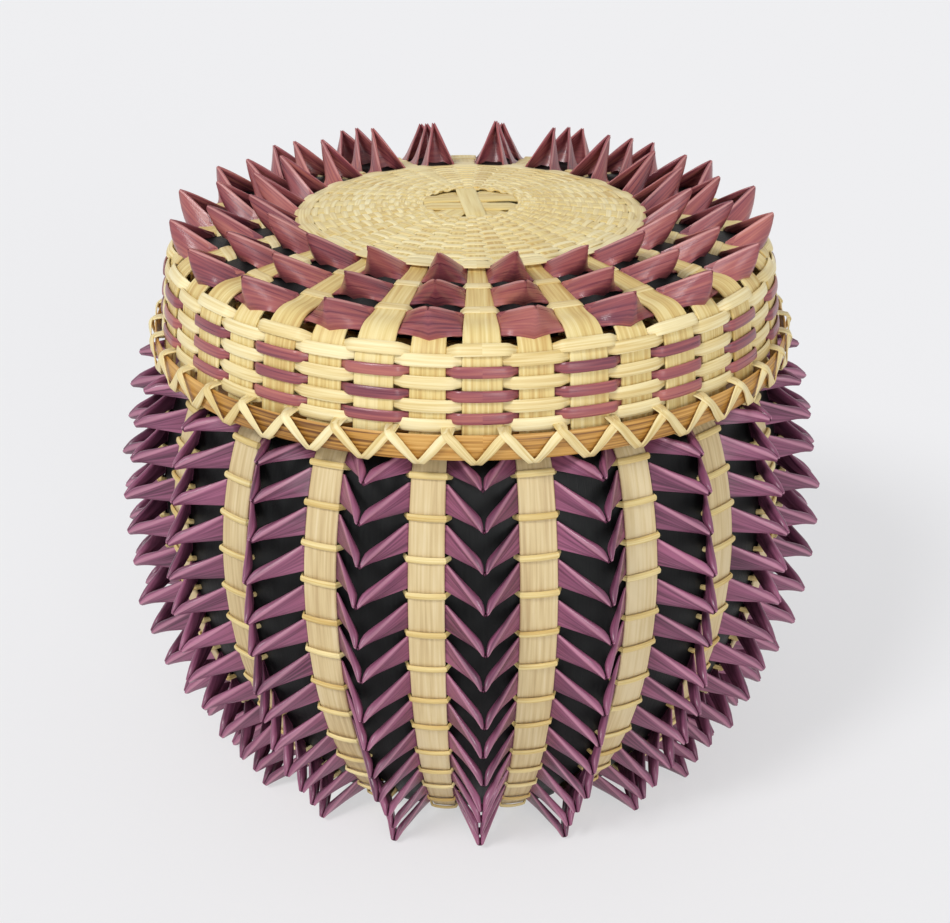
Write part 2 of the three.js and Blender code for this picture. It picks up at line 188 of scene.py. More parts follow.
def waver(angles: np.ndarray, *waves: tuple[float, int, float]) -> np.ndarray:
    """Adds up small waves round the basket.

    Args:
        angles: Stations round the axis.
        waves: For each wave its height, how often it rises on the way round, and its start.

    Returns:
        How far they stray at each station.
    """
    return sum(height * np.sin(angles * count + start) for height, count, start in waves)


def off_centre(angles: np.ndarray, first: float) -> np.ndarray:
    """How far each angle is from the nearest column, where the first column is given."""
    return (angles - first + TURN / 2) % TURN - TURN / 2


def heights(node: str) -> tuple[float, float]:
    """Lowest and highest height of a node of the frame, in millimetres."""
    low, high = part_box(node)
    return low.z / MM, high.z / MM


def inner_radius(node: str) -> float:
    """Inside radius of a hoop of the frame, in millimetres."""
    points = np.array([v.co[:] for v in bpy.data.objects[node].data.vertices])
    return np.hypot(points[:, 0], points[:, 1]).min() / MM


@dataclass(frozen=True)
class Cut:
    """The section that a splint is cut to."""

    thickness: float
    crown: float = 0.0  # how far the middle of its face stands proud of the edges


class Profile:
    """A half section as a fine line from the middle outwards, with its outside direction."""

    ROUND_STEPS = 7

    def __init__(self, corners: list[tuple[float, float]], eases: list[float], outside: float) -> None:
        """Builds the line.

        Args:
            corners: Radius and height of each corner.
            eases: How far from each corner its rounding starts, 0 for none.
            outside: 1 if the outside is on the right of the line, -1 if it is on the left.
        """
        spots = [np.array(c, float) for c in corners]
        line = [spots[0]]
        for before, here, after, ease in zip(spots, spots[1:], spots[2:], eases[1:]):
            if ease > 0:
                start = here + unit(before - here) * ease
                end = here + unit(after - here) * ease
                line.extend(bend(np.linspace(0, 1, self.ROUND_STEPS)[:, None], start, here, end))
            else:
                line.append(here)
        line.append(spots[-1])
        self.line = np.array(line)
        self.along = run_along(self.line)
        self.way = unit(np.gradient(self.line, self.along, axis=0))
        self.out = np.stack([self.way[:, 1], -self.way[:, 0]], 1) * outside

    @property
    def length(self) -> float:
        """Length of the line."""
        return float(self.along[-1])

    def _read(self, table: np.ndarray, distance: Numbers) -> np.ndarray:
        """Reads a table of pairs at distances along the line."""
        return np.stack([np.interp(distance, self.along, table[:, i]) for i in (0, 1)], -1)

    def at(self, distance: Numbers, offset: Numbers = 0.0) -> np.ndarray:
        """Radius and height at a distance along the line, moved out by an offset."""
        return self._read(self.line, distance) + self.normal(distance) * np.asarray(offset)[..., None]

    def normal(self, distance: Numbers) -> np.ndarray:
        """Outside direction at a distance along the line."""
        return unit(self._read(self.out, distance))

    def tangent(self, distance: Numbers) -> np.ndarray:
        """Direction of the line at a distance along it."""
        return unit(self._read(self.way, distance))

    def at_height(self, height: float) -> float:
        """How far along the line it passes a height."""
        order = np.argsort(self.line[:, 1], kind="stable")
        return float(np.interp(height, self.line[order, 1], self.along[order]))

    def at_radius(self, radius: float) -> float:
        """How far along the line it passes a radius on its way out."""
        return float(np.interp(radius, self.line[:, 0], self.along))


class Skin:
    """Points, faces and a length-and-width map in millimetres, gathered strip by strip."""

    MERGE = 2e-6  # metres
    SHARP = math.radians(42)
    BEVEL = 0.22
    BEVEL_SHARE = 0.35  # of a thinner splint's thickness
    WAIST = 0.55  # a place between the middle of a splint's face and its edge
    WAIST_RISE = 0.7  # share of the crown there

    def __init__(self) -> None:
        """Starts with nothing."""
        self.points: list[np.ndarray] = []
        self.maps: list[np.ndarray] = []
        self.faces: list[tuple[int, ...]] = []
        self.count = 0

    def grid(
        self, points: np.ndarray, grain: np.ndarray, round_across: bool = False, flip: bool = False
    ) -> int:
        """Adds a grid of points and joins them with four-sided faces.

        Args:
            points: Rows of points.
            grain: Length and width of each point on the splint.
            round_across: Whether the last point of a row joins its first.
            flip: Whether the faces turn the other way.

        Returns:
            The number of the first point.
        """
        rows, across = points.shape[:2]
        first = self.count
        self.points.append(points.reshape(-1, 3))
        self.maps.append(grain.reshape(-1, 2))
        self.count += rows * across
        columns = across if round_across else across - 1
        i, j = np.meshgrid(np.arange(rows - 1), np.arange(columns), indexing="ij")
        k = (j + 1) % across
        quads = np.stack([i * across + j, (i + 1) * across + j, (i + 1) * across + k, i * across + k], -1)
        quads = quads.reshape(-1, 4) + first
        if flip:
            quads = quads[:, ::-1]
        self.faces.extend(map(tuple, quads.tolist()))
        return first

    def band(
        self,
        centre: np.ndarray,
        across: np.ndarray,
        out: np.ndarray,
        half: Numbers,
        cut: Cut,
        lane: float,
    ) -> None:
        """Adds a splint of flat section with eased edges along a line.

        Args:
            centre: Points along its middle.
            across: Direction of its width at each point.
            out: Direction that its face looks in at each point.
            half: Half its width, at each point or all along.
            cut: Its section.
            lane: Where its width starts on the map, so that no two splints share a grain.
        """
        bevel = min(self.BEVEL, self.BEVEL_SHARE * cut.thickness)
        top = cut.thickness / 2
        waist = top + self.WAIST_RISE * cut.crown
        outline = [
            (-1.0, bevel, top),
            (-self.WAIST, 0.0, waist),
            (0.0, 0.0, top + cut.crown),
            (self.WAIST, 0.0, waist),
            (1.0, bevel, top),
            (1.0, 0.0, top - bevel),
            (1.0, 0.0, bevel - top),
            (1.0, bevel, -top),
            (-1.0, bevel, -top),
            (-1.0, 0.0, bevel - top),
            (-1.0, 0.0, top - bevel),
        ]
        half_at = np.broadcast_to(np.asarray(half, float), centre.shape[:1])
        run = run_along(centre)
        rings = []
        maps = []
        for side, inset, level in outline:
            reach = side * half_at - np.sign(side) * inset
            rings.append(centre + across * reach[:, None] + out * level)
            maps.append(np.stack([run, reach + lane], -1))
        turned = bool(np.dot(np.cross(centre[1] - centre[0], across[0]), out[0]) > 0)
        first = self.grid(np.stack(rings, 1), np.stack(maps, 1), round_across=True, flip=turned)
        if not closed(centre):
            start = tuple(range(first, first + len(outline)))
            end = tuple(range(self.count - len(outline), self.count))
            self.faces.append(start[::-1] if turned else start)
            self.faces.append(end if turned else end[::-1])

    def shell(
        self, points: np.ndarray, out: np.ndarray, thickness: float, grain: np.ndarray, open_from: int
    ) -> None:
        """Adds a sheet with two faces, closed along its edges.

        Args:
            points: Rows of points of the outer face.
            out: Outside direction at each point.
            thickness: Its thickness, inwards from the points.
            grain: Length and width of each point on the splint.
            open_from: Points of the last row from this one on join another sheet, so they get no edge.
        """
        rows, across = points.shape[:2]
        cell = np.cross(points[1, 1] - points[0, 0], points[0, 1] - points[1, 0])
        turned = bool(np.dot(cell, out[0, 0] + out[1, 1]) < 0)
        outer = self.grid(points, grain, flip=not turned)
        inner = self.grid(points - out * thickness, grain, flip=turned)
        runs = [
            [(i, 0) for i in range(rows)],
            [(rows - 1, j) for j in range(open_from)],
            [(i, across - 1) for i in range(rows - 1, -1, -1)],
            [(0, j) for j in range(across - 1, -1, -1)],
        ]
        for run in runs:
            for (i, j), (k, m) in zip(run, run[1:]):
                a, b = i * across + j, k * across + m
                face = (outer + a, outer + b, inner + b, inner + a)
                self.faces.append(face if turned else face[::-1])

    def object(self, name: str) -> bpy.types.Object:
        """Makes the Blender object, with the points that meet joined into one.

        Args:
            name: The piece's name.

        Returns:
            The object, linked to the scene.
        """
        points = np.concatenate(self.points) * MM
        maps = np.concatenate(self.maps)
        mesh = bpy.data.meshes.new(name)
        mesh.from_pydata(points.tolist(), [], self.faces)
        corners = np.zeros(len(mesh.loops), np.int32)
        mesh.loops.foreach_get("vertex_index", corners)
        layer = mesh.uv_layers.new(name="grain")
        layer.data.foreach_set("uv", maps[corners].astype(np.float32).ravel())
        work = bmesh.new()
        work.from_mesh(mesh)
        bmesh.ops.remove_doubles(work, verts=work.verts, dist=self.MERGE)
        work.to_mesh(mesh)
        work.free()
        mesh.polygons.foreach_set("use_smooth", [True] * len(mesh.polygons))
        mesh.set_sharp_from_angle(angle=self.SHARP)
        made = bpy.data.objects.new(name, mesh)
        bpy.context.scene.collection.objects.link(made)
        return made


def feed(tree: Tree, node: bpy.types.Node, values: dict[int | str, object]) -> None:
    """Sets a node's inputs, or links them to the outputs of others.

    Args:
        tree: The nodes.
        node: The node.
        values: The value or the output for each input.
    """
    for key, value in values.items():
        if isinstance(value, Socket):
            tree.links.new(value, node.inputs[key])
        else:
            node.inputs[key].default_value = value


def add_node(
    tree: Tree, kind: str, values: dict[int | str, object], **settings: object
) -> bpy.types.Node:
    """Adds a shader node.

    Args:
        tree: The nodes.
        kind: What it is.
        values: The value or the output for each input.
        settings: The node's own settings.

    Returns:
        The node.
    """
    node = tree.nodes.new("ShaderNode" + kind)
    for key, value in settings.items():
        setattr(node, key, value)
    feed(tree, node, values)
    return node


@dataclass(frozen=True)
class SplintFinish:
    """Dyed or natural splint: streaks of grain along its length, over a soft change of tone."""

    name: str
    slot: Slot
    pale: str
    middle: str
    deep: str
    roughness: float
    streak_width: float = 0.9
    streak_length: float = 26.0
    relief: float = 0.25
    shine: float = 0.5  # how much light it mirrors
    painted_highlight: str | None = None  # colour of the painted highlight line along a fold, standing in for the gloss on a rolled ridge

    STREAK_DETAIL = 3.0
    TONE = (60.0, 14.0, 1.0)  # length, width and detail of the change of tone
    FIBRES = (9.0, 0.22, 2.0)
    TONE_SHARE = 0.45
    STOPS = (0.34, 0.5, 0.66)  # where the deep, middle and pale colours lie
    GLOSS_SWING = 0.1
    RELIEF_DEPTH = 0.0002
    HIGHLIGHT_EDGE = 0.95  # how far from the fold the painted highlight fades out
    HIGHLIGHT_CORE = 0.1
    HIGHLIGHT_SHARE = 0.6

    def material(self) -> bpy.types.Material:
        """Builds the finish, or finds it if it was built before.

        Returns:
            The material.
        """
        found = bpy.data.materials.get(self.name)
        if found:
            return found
        material = bpy.data.materials.new(self.name)
        material.use_nodes = True
        tree = material.node_tree
        grain = add_node(tree, "UVMap", {}, uv_map="grain").outputs["UV"]
        streaks = self._noise(tree, grain, self.streak_length, self.streak_width, self.STREAK_DETAIL)
        tone = self._noise(tree, grain, *self.TONE)
        fibres = self._noise(tree, grain, *self.FIBRES)
        blend = add_node(tree, "Mix", {"Factor": self.TONE_SHARE, "A": streaks, "B": tone})
        ramp = add_node(tree, "ValToRGB", {"Fac": blend.outputs["Result"]})
        stops = ramp.color_ramp.elements
        stops.new(self.STOPS[1])
        for stop, place, code in zip(stops, self.STOPS, (self.deep, self.middle, self.pale)):
            stop.position = place
            stop.color = linear(code)
        colour = ramp.outputs["Color"]
        # Paints a highlight along each fold of the splint, where the rolled ridge would catch the light.
        if self.painted_highlight:
            colour = self._painted_fold_highlight(tree, grain, colour)
        limits = {"To Min": self.roughness - self.GLOSS_SWING, "To Max": self.roughness + self.GLOSS_SWING}
        gloss = add_node(tree, "MapRange", {**limits, "Value": streaks})
        bump = {"Strength": self.relief, "Distance": self.RELIEF_DEPTH, "Height": fibres}
        surface = {
            "Base Color": colour,
            "Roughness": gloss.outputs["Result"],
            "Normal": add_node(tree, "Bump", bump).outputs["Normal"],
            "Specular IOR Level": self.shine,
        }
        feed(tree, tree.nodes["Principled BSDF"], surface)
        return material

    def _painted_fold_highlight(self, tree: Tree, grain: Socket, colour: Socket) -> Socket:
        """Lays a paler line over the colour where the splint's map passes a fold: a painted highlight on the
        rolled ridge.

        Args:
            tree: The material's nodes.
            grain: The map.
            colour: The colour under the line.

        Returns:
            The colour with the line.
        """
        apart = add_node(tree, "SeparateXYZ", {"Vector": grain})
        lane = {0: apart.outputs["Y"], 1: LANE / 2, 2: -LANE / 2}
        wrap = add_node(tree, "Math", lane, operation="WRAP")
        away = add_node(tree, "Math", {0: wrap.outputs[0]}, operation="ABSOLUTE")
        # The painted highlight is strongest on the fold and fades out away from it.
        fade = {"From Min": self.HIGHLIGHT_EDGE, "From Max": self.HIGHLIGHT_CORE, "To Max": self.HIGHLIGHT_SHARE}
        line = add_node(tree, "MapRange", {**fade, "Value": away.outputs[0]}, interpolation_type="SMOOTHSTEP")
        layers = {"Factor": line.outputs["Result"], 6: colour, 7: linear(self.painted_highlight)}
        return add_node(tree, "Mix", layers, data_type="RGBA").outputs[2]

    @staticmethod
    def _noise(tree: Tree, grain: Socket, length: float, width: float, detail: float) -> Socket:
        """Noise drawn out along the splint.

        Args:
            tree: The material's nodes.
            grain: The map.
            length: Size of the noise along the splint.
            width: Size of the noise across it.
            detail: How many finer layers the noise has.

        Returns:
            The noise's output.
        """
        mapping = add_node(tree, "Mapping", {"Vector": grain, "Scale": (1 / length, 1 / width, 1.0)})
        values = {"Scale": 1.0, "Detail": detail, "Vector": mapping.outputs["Vector"]}
        return add_node(tree, "TexNoise", values, noise_dimensions="2D").outputs["Fac"]


@dataclass(frozen=True)
class Finishes:
    """The finishes of the basket's pieces."""

    stake: SplintFinish = SplintFinish(
        "natural_stake", Slot.NATURAL, "dccaa0", "d1bc8c", "bda476", 0.55
    )
    weaver: SplintFinish = SplintFinish(
        "natural_weaver", Slot.NATURAL, "ead9a0", "dcc584", "c9a962", 0.5, 0.5
    )
    lid_stake: SplintFinish = SplintFinish(
        "natural_lid_stake", Slot.NATURAL, "eddca2", "e0c985", "cba964", 0.5
    )
    lid_weaver: SplintFinish = SplintFinish(
        "natural_lid_weaver", Slot.NATURAL, "f2e5b6", "e7d49b", "d3b876", 0.45, 0.6
    )
    # The plum finishes' last colour is a painted highlight, drawn along each fold of their points.
    plum: SplintFinish = SplintFinish(
        "plum_splint", Slot.PLUM, "9a5a78", "7d4560", "532a40", 0.33, 0.7, painted_highlight="cf93a8"
    )
    lid_plum: SplintFinish = SplintFinish(
        "plum_lid_splint", Slot.PLUM, "b06a60", "964f53", "703846", 0.31, 0.7, painted_highlight="d8a09a"
    )
    black: SplintFinish = SplintFinish(
        "black_splint", Slot.BLACK, "141616", "0d0e0f", "08090a", 0.55, 0.8, shine=0.28
    )
    hoop: SplintFinish = SplintFinish(
        "hoop_wood", Slot.HOOP, "dcae62", "bf8b3e", "6a4012", 0.42, 0.7, streak_length=38.0, relief=0.4
    )


def piece(skin: Skin, name: str, finish: SplintFinish, body: Body, node: str) -> None:
    """Makes a piece, gives it its finish and seats it on its body.

    Args:
        skin: Its mesh.
        name: Its name.
        finish: Its finish.
        body: The body it rides on.
        node: The node of the frame that it stands for.
    """
    made = skin.object(name)
    made.data.materials.append(finish.material())
    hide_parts(node)
    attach(made, body.value)
    LOG.info("%s: %d faces on %s", name, len(made.data.polygons), body.value)


def stake_band(
    skin: Skin,
    profile: Profile,
    angle: float,
    distances: np.ndarray,
    offsets: np.ndarray,
    halves: np.ndarray,
    cut: Cut,
    lane: float,
) -> None:
    """Adds a splint that runs out along a profile.

    Args:
        skin: Where it goes.
        profile: The half section it follows.
        angle: Where it stands round the axis.
        distances: Stations along the profile.
        offsets: How far out from the profile its middle lies at each.
        halves: Half its width at each.
        cut: Its section.
        lane: Where it starts on the grain map.
    """
    centre = spot(profile.at(distances, offsets), angle)
    across = np.broadcast_to([-math.sin(angle), math.cos(angle), 0.0], centre.shape)
    along = unit(np.gradient(centre, axis=0))
    out = face_out(along, across, spot(profile.normal(distances), angle))
    skin.band(centre, across, out, halves, cut, lane)


def ring_band(
    skin: Skin,
    profile: Profile,
    distance: float,
    angles: np.ndarray,
    offsets: np.ndarray,
    halves: Numbers,
    cut: Cut,
    lane: float,
    drift: Numbers = 0.0,
) -> None:
    """Adds a splint that runs round the basket.

    Args:
        skin: Where it goes.
        profile: The half section that its width lies along.
        distance: Where it crosses the profile.
        angles: Stations round the axis.
        offsets: How far out from the profile its middle lies at each.
        halves: Half its width.
        cut: Its section.
        lane: Where it starts on the grain map.
        drift: How far along the profile it wanders at each station.
    """
    places = distance + drift + 0 * angles
    centre = spot(profile.at(places, offsets), angles)
    across = spot(profile.tangent(places), angles)
    along = unit(np.gradient(centre, axis=0))
    if closed(centre):
        along[0] = along[-1] = unit(centre[1] - centre[-2])
    out = face_out(along, across, spot(profile.normal(places), angles))
    skin.band(centre, across, out, halves, cut, lane)


@dataclass(frozen=True)
class Seat:
    """Where a folded point sits: the wall that it leaves, the stakes beside it and its tip."""

    profile: Profile
    distance: float  # where the splint's middle crosses the profile
    mouth: int  # 1 if the mouth lies ahead along the profile, -1 if it lies behind
    stake_half: float  # half the width of the stakes beside it
    tip: tuple[float, float]  # radius and height
    hem_lift: float = 0.0  # how much higher the hem starts than in other rows


@dataclass(frozen=True)
class Fold:
    """A splint folded out to a point between two stakes, with a rolled arm from each of them."""

    width: float = 7.0
    thickness: float = 0.42
    root_roll: float = 0.2  # radius of the rolled ridge beside the stake
    full_roll: float = 1.0  # near the tip
    tip_roll: float = 0.45
    slit: float = 0.06  # half the gap between the two rolls at the tip
    flap: float = 2.7  # how far the roll's inner side turns down
    nose: float = 0.6  # from the tip's middle up to the ridges and down to the keel
    bow: float = 0.0  # how far an arm bows out
    hem_out: float = 1.5  # from the wall to where the hem would lie if it stayed by the wall
    hem_drop: float = 0.6  # how far the hem sags below the splint's edge
    hem_share: float = 0.8  # how far the hem's middle goes from there to the tip
    swell: float = 0.35  # how far the outer face of an arm rounds out
    keel_bulge: float = 0.1
    facet: float = 0.25  # half the width of the flat along the keel, at the hem
    dent: float = 0.0  # how far that flat is pressed in
    ridge_rise: float = 0.2  # of the upper edge over the profile, beside the stake
    hem_rise: float = 0.2
    root: float = -0.95  # where the splint lies behind a stake, from the profile
    tucked: float = 1.2  # how far behind the stake's edge the arm starts

    WANDER = 0.4  # the most that a tip strays from its place
    CLEARED = 0.35  # how far past the stake's edge the arm is out in the open
    ACROSS = (0.0, 0.08, 0.18, 0.3, 0.44, 0.6, 0.8, 1.0)  # stations from the ridge to the hem
    NOSE_AT = 3  # the station at the lower end of the tip
    ALONG_STEPS = 12
    LIP_STEPS = 6
    FLAP_STEPS = 3
    TURNED = 0.1  # share of the arm that is behind the stake
    NOSE_OUT = 0.2  # how far the tip's middle stands out
    NOSE_PULL = 0.4  # share of the ridge's distance from the middle, there
    HEM_STRAY = 0.3  # share of the tip's stray that the hem follows
    BOW_WAY = (0.35, 0.6)  # upward and sideways, for each millimetre outward
    CREASE_POWER = 1.5  # how late along the arm the keel's crease shows
    SWELL_OUT = 0.4
    UPRIGHT = (0.45, 0.5)  # where along the arm the flap starts to hang upright, and over what share
    FLAP_LEAN = 0.25
    ROLLED_BY = 0.75  # share of the arm at which the roll is full
    LEAST_FLAP = 0.4
    FLAP_CURL = 0.3
    CAP = (0.55, 0.3)  # how far the tip closes over the roll, and how far it stands out there
    ROLL_GRAIN = (3.4, 0.3)  # where the roll starts and ends on the map, above the ridge

    def arm(self, side: int, seat: Seat, stray: np.ndarray) -> tuple[np.ndarray, np.ndarray, np.ndarray]:
        """One of a point's two arms, in its column's own directions.

        Args:
            side: -1 for the arm that comes from the left, 1 from the right.
            seat: Where the point sits.
            stray: Sideways, outward and upward stray of the tip.

        Returns:
            Points, their outside directions and the grain map, as rows from root to tip.
        """
        half_turn = TURN / 2
        way = unit(np.array(seat.tip) - seat.profile.at(seat.distance))
        up = np.array([-way[1], way[0]])
        tip = seat.tip + way * stray[1] + up * stray[2]

        def beside(distance: float, offset: float, inset: float) -> np.ndarray:
            """Finds a point of the section beside the stake.

            Args:
                distance: How far along the profile it is.
                offset: How far out from the profile.
                inset: How far from the stake's middle, towards the column.

            Returns:
                The point, in the column's own directions.
            """
            place = seat.profile.at(distance, offset)
            x = side * (place[0] * math.sin(half_turn) - inset * math.cos(half_turn))
            return np.array([x, place[0] * math.cos(half_turn) + inset * math.sin(half_turn), place[1]])

        def middle(place: np.ndarray, x: float) -> np.ndarray:
            """A point or direction of the column's section, with its sideways share."""
            return np.array([x, place[0], place[1]])

        # The corners: where the arm starts behind the stake, turns out past it, and meets the tip.
        top = seat.distance + seat.mouth * self.width / 2
        low = seat.distance - seat.mouth * self.width / 2
        hem_rise = self.hem_rise + seat.hem_lift
        run = math.sqrt(self.width**2 - (self.ridge_rise - hem_rise) ** 2)
        behind = seat.stake_half - self.tucked
        ahead = seat.stake_half + self.CLEARED
        ridge_root = beside(top, self.root, behind)
        ridge_turn = beside(low + seat.mouth * run, self.ridge_rise, ahead)
        hem_root = beside(low, self.root, behind)
        hem_turn = beside(low, hem_rise, ahead)
        blunt = side * (self.slit + 2 * self.tip_roll)
        ridge_end = middle(tip + up * self.nose, stray[0] + blunt)
        front = middle(tip + way * self.NOSE_OUT, stray[0] + self.NOSE_PULL * blunt)
        nose = middle(tip - up * self.nose, stray[0])
        hem_foot = seat.profile.at(low - seat.mouth * self.hem_drop, self.hem_out)
        hem = middle(hem_foot, self.HEM_STRAY * stray[0])
        hem = hem + (nose - hem) * self.hem_share
        keel = (nose + hem) / 2 - middle(up, 0.0) * 2 * self.keel_bulge

        # The panel between the ridge and the hem, drawn to the crease along the keel.
        open_steps = np.linspace(self.TURNED, 1, self.ALONG_STEPS)
        steps = np.concatenate([[0.0, self.TURNED / 2], open_steps])[:, None]
        t = np.clip((steps - self.TURNED) / (1 - self.TURNED), 0, 1)
        start = np.clip(steps / self.TURNED, 0, 1)
        bow_up, bow_side = self.BOW_WAY
        outward = middle(way + bow_up * up, bow_side * side)
        ridge = ridge_root + (ridge_turn - ridge_root) * start + (ridge_end - ridge_turn) * t
        ridge = ridge + self.bow * 4 * t * (1 - t) * outward
        tucked = hem_root + (hem_turn - hem_root) * start
        lower = np.where(steps < self.TURNED, tucked, bend(t, hem_turn, (hem_turn + hem) / 2, hem))
        v = np.array(self.ACROSS)[:, None]
        edge = self.ACROSS[self.NOSE_AT]
        to_nose = bend(v / edge, ridge_end, front, nose)
        centre = np.where(v <= edge, to_nose, bend((v - edge) / (1 - edge), nose, keel, hem))
        share = np.clip((v[:, 0] - edge) / (1 - edge), 0, 1)
        creased = centre.copy()
        creased[:, 0] += side * self.facet * share
        flat = (1 - v) * ridge_end + v * hem
        lift = t[:, :, None] ** self.CREASE_POWER
        panel = (1 - v)[None] * ridge[:, None] + v[None] * lower[:, None] + lift * (creased - flat)[None]
        round_out = middle(way * self.SWELL_OUT, float(side)) * self.swell
        panel = panel + (4 * v * (1 - v))[None] * (4 * t * (1 - t))[:, None] * round_out
        out = unit(np.cross(np.gradient(panel, axis=0), np.gradient(panel, axis=1))) * -side

        # The roll over the ridge, with its flap inside.
        along = unit(np.gradient(panel[:, 0], axis=0))
        upright_from, upright_run = self.UPRIGHT
        upright = smooth((t - upright_from) / upright_run)
        drop = unit(lower - ridge) * (1 - upright) + middle(-up, -self.FLAP_LEAN * side) * upright
        drop = unit(drop - along * np.sum(drop * along, -1, keepdims=True))
        ridge_out = face_out(along, drop, middle(way, float(side)))
        radius = self.root_roll + (self.full_roll - self.root_roll) * np.clip(t / self.ROLLED_BY, 0, 1)
        room = (np.abs(panel[:, :1, 0] - stray[0]) - self.slit) / 2
        radius = np.minimum(radius, np.maximum(room, self.tip_roll))
        length = self.LEAST_FLAP + (self.flap - self.LEAST_FLAP) * np.sin(math.pi * np.sqrt(t))
        core = panel[:, 0] - ridge_out * radius
        rolled = []
        rolled_out = []
        for step in range(self.FLAP_STEPS, 0, -1):
            part = step / self.FLAP_STEPS
            rolled.append(core - ridge_out * radius * (1 - self.FLAP_CURL * part**2) + drop * length * part)
            rolled_out.append(-ridge_out)
        for step in range(self.LIP_STEPS, 0, -1):
            turn = math.pi * step / self.LIP_STEPS
            outwards = ridge_out * math.cos(turn) - drop * math.sin(turn)
            rolled.append(core + outwards * radius)
            rolled_out.append(outwards)
        points = np.concatenate([np.stack(rolled, 1), panel], 1)
        outs = np.concatenate([np.stack(rolled_out, 1), out], 1)

        # One more row closes the tip, and meets the other arm along the keel.
        keel_from = len(rolled) + self.NOSE_AT
        cap_share, cap_out_by = self.CAP
        cap = core[-1] + (points[-1] - core[-1]) * cap_share + middle(way, 0.0) * cap_out_by
        cap[keel_from:] = centre[self.NOSE_AT :] + middle(up, 0.0) * self.dent * share[self.NOSE_AT :, None]
        cap_out = unit(outs[-1] + middle(way, 0.0))
        cap_out[keel_from:] = middle(-up, 0.0)
        points = np.concatenate([points, cap[None]])
        outs = np.concatenate([outs, cap_out[None]])
        lengths = run_along(points[:, keel_from - 1])
        roll_widths = -np.linspace(*self.ROLL_GRAIN, len(rolled))
        widths = np.concatenate([roll_widths, np.array(self.ACROSS) * self.width])
        grain = np.stack(np.broadcast_arrays(side * (lengths[:, None] - lengths[-1]), widths[None]), -1)
        return points, outs, grain

    def point(self, skin: Skin, seat: Seat, angle: float, lane: float, rng: np.random.Generator) -> None:
        """Adds a folded point.

        Args:
            skin: Where it goes.
            seat: Where the point sits.
            angle: Where its column stands.
            lane: Where it starts on the grain map.
            rng: Source of its stray.
        """
        stray = rng.uniform(-1, 1, 3) * self.WANDER
        sideways = np.array([-math.sin(angle), math.cos(angle), 0.0])
        outward = np.array([math.cos(angle), math.sin(angle), 0.0])
        axes = np.stack([sideways, outward, [0.0, 0.0, 1.0]])
        joined_from = self.LIP_STEPS + self.FLAP_STEPS + self.NOSE_AT
        for side in (-1, 1):
            points, outs, grain = self.arm(side, seat, stray)
            skin.shell(points @ axes, outs @ axes, self.thickness, grain + [0.0, lane], joined_from)


@dataclass(frozen=True)
class Lashing:
    """A splint that slants down over the outside of a rim and goes straight up its inside."""

    inner: float  # inside radius of the rim
    outer: float
    bottom: float  # height of the rim's foot
    top: float
    wraps: int  # how many times it goes round the rim
    half: float  # half its width
    direction: float  # 1 or -1, the way it slants
    step: float  # angle that it covers on the outside
    start: float  # angle of the middle of its first outside run
    lift: float = 0.0  # how far it is raised where it crosses another

    CLEAR = 0.3
    STATIONS = 40
    ROUNDING = (0.25, 0.5, 0.25)
    SPLINT = Cut(0.4, 0.03)
    LANE_STEP = 7.0

    def path(self) -> np.ndarray:
        """Radius, height and share of the outside run, from the inside over the top and back.

        Returns:
            One row for each station.
        """
        near, far = self.inner - self.CLEAR, self.outer + self.CLEAR
        over, under = self.top + self.CLEAR, self.bottom - self.CLEAR
        waist = (self.top + self.bottom) / 2
        corners = np.array([
            (near, waist, -0.1),
            (near, self.top, -0.1),
            (near + 0.8, over, -0.1),
            (far - 1.2, over, -0.08),
            (far + 0.8 * self.lift, self.top - 0.5, 0.02),
            (far + self.lift, 0.75 * self.top + 0.25 * self.bottom, 0.24),
            (far + 0.6 * self.lift, waist, 0.46),
            (far, 0.25 * self.top + 0.75 * self.bottom, 0.7),
            (far, self.bottom + 0.5, 0.9),
            (far - 0.8, under, 1.0),
            (near + 0.8, under, 1.04),
            (near, self.bottom + 0.8, 1.04),
            (near, waist, 1.04),
        ])
        fine = np.linspace(0, len(corners) - 1, self.STATIONS)
        line = np.stack([np.interp(fine, np.arange(len(corners)), corners[:, i]) for i in range(3)], -1)
        for _ in range(2):
            inside = [np.convolve(line[:, i], self.ROUNDING, "valid") for i in range(3)]
            line = np.concatenate([line[:1], np.stack(inside, -1), line[-1:]])
        return line

    def wind(self, skin: Skin) -> None:
        """Adds the lashing.

        Args:
            skin: Where it goes.
        """
        path = self.path()
        core = np.array([(self.inner + self.outer) / 2, (self.top + self.bottom) / 2])
        for k in range(self.wraps):
            middle = self.start + k * 2 * math.pi / self.wraps
            angles = middle + self.direction * self.step * (path[:, 2] - 0.5)
            centre = spot(path[:, :2], angles)
            along = unit(np.gradient(centre, axis=0))
            across = unit(np.cross(unit(centre - spot(core, angles)), along))
            out = unit(np.cross(along, across))
            skin.band(centre, across, out, self.half, self.SPLINT, self.LANE_STEP * k)


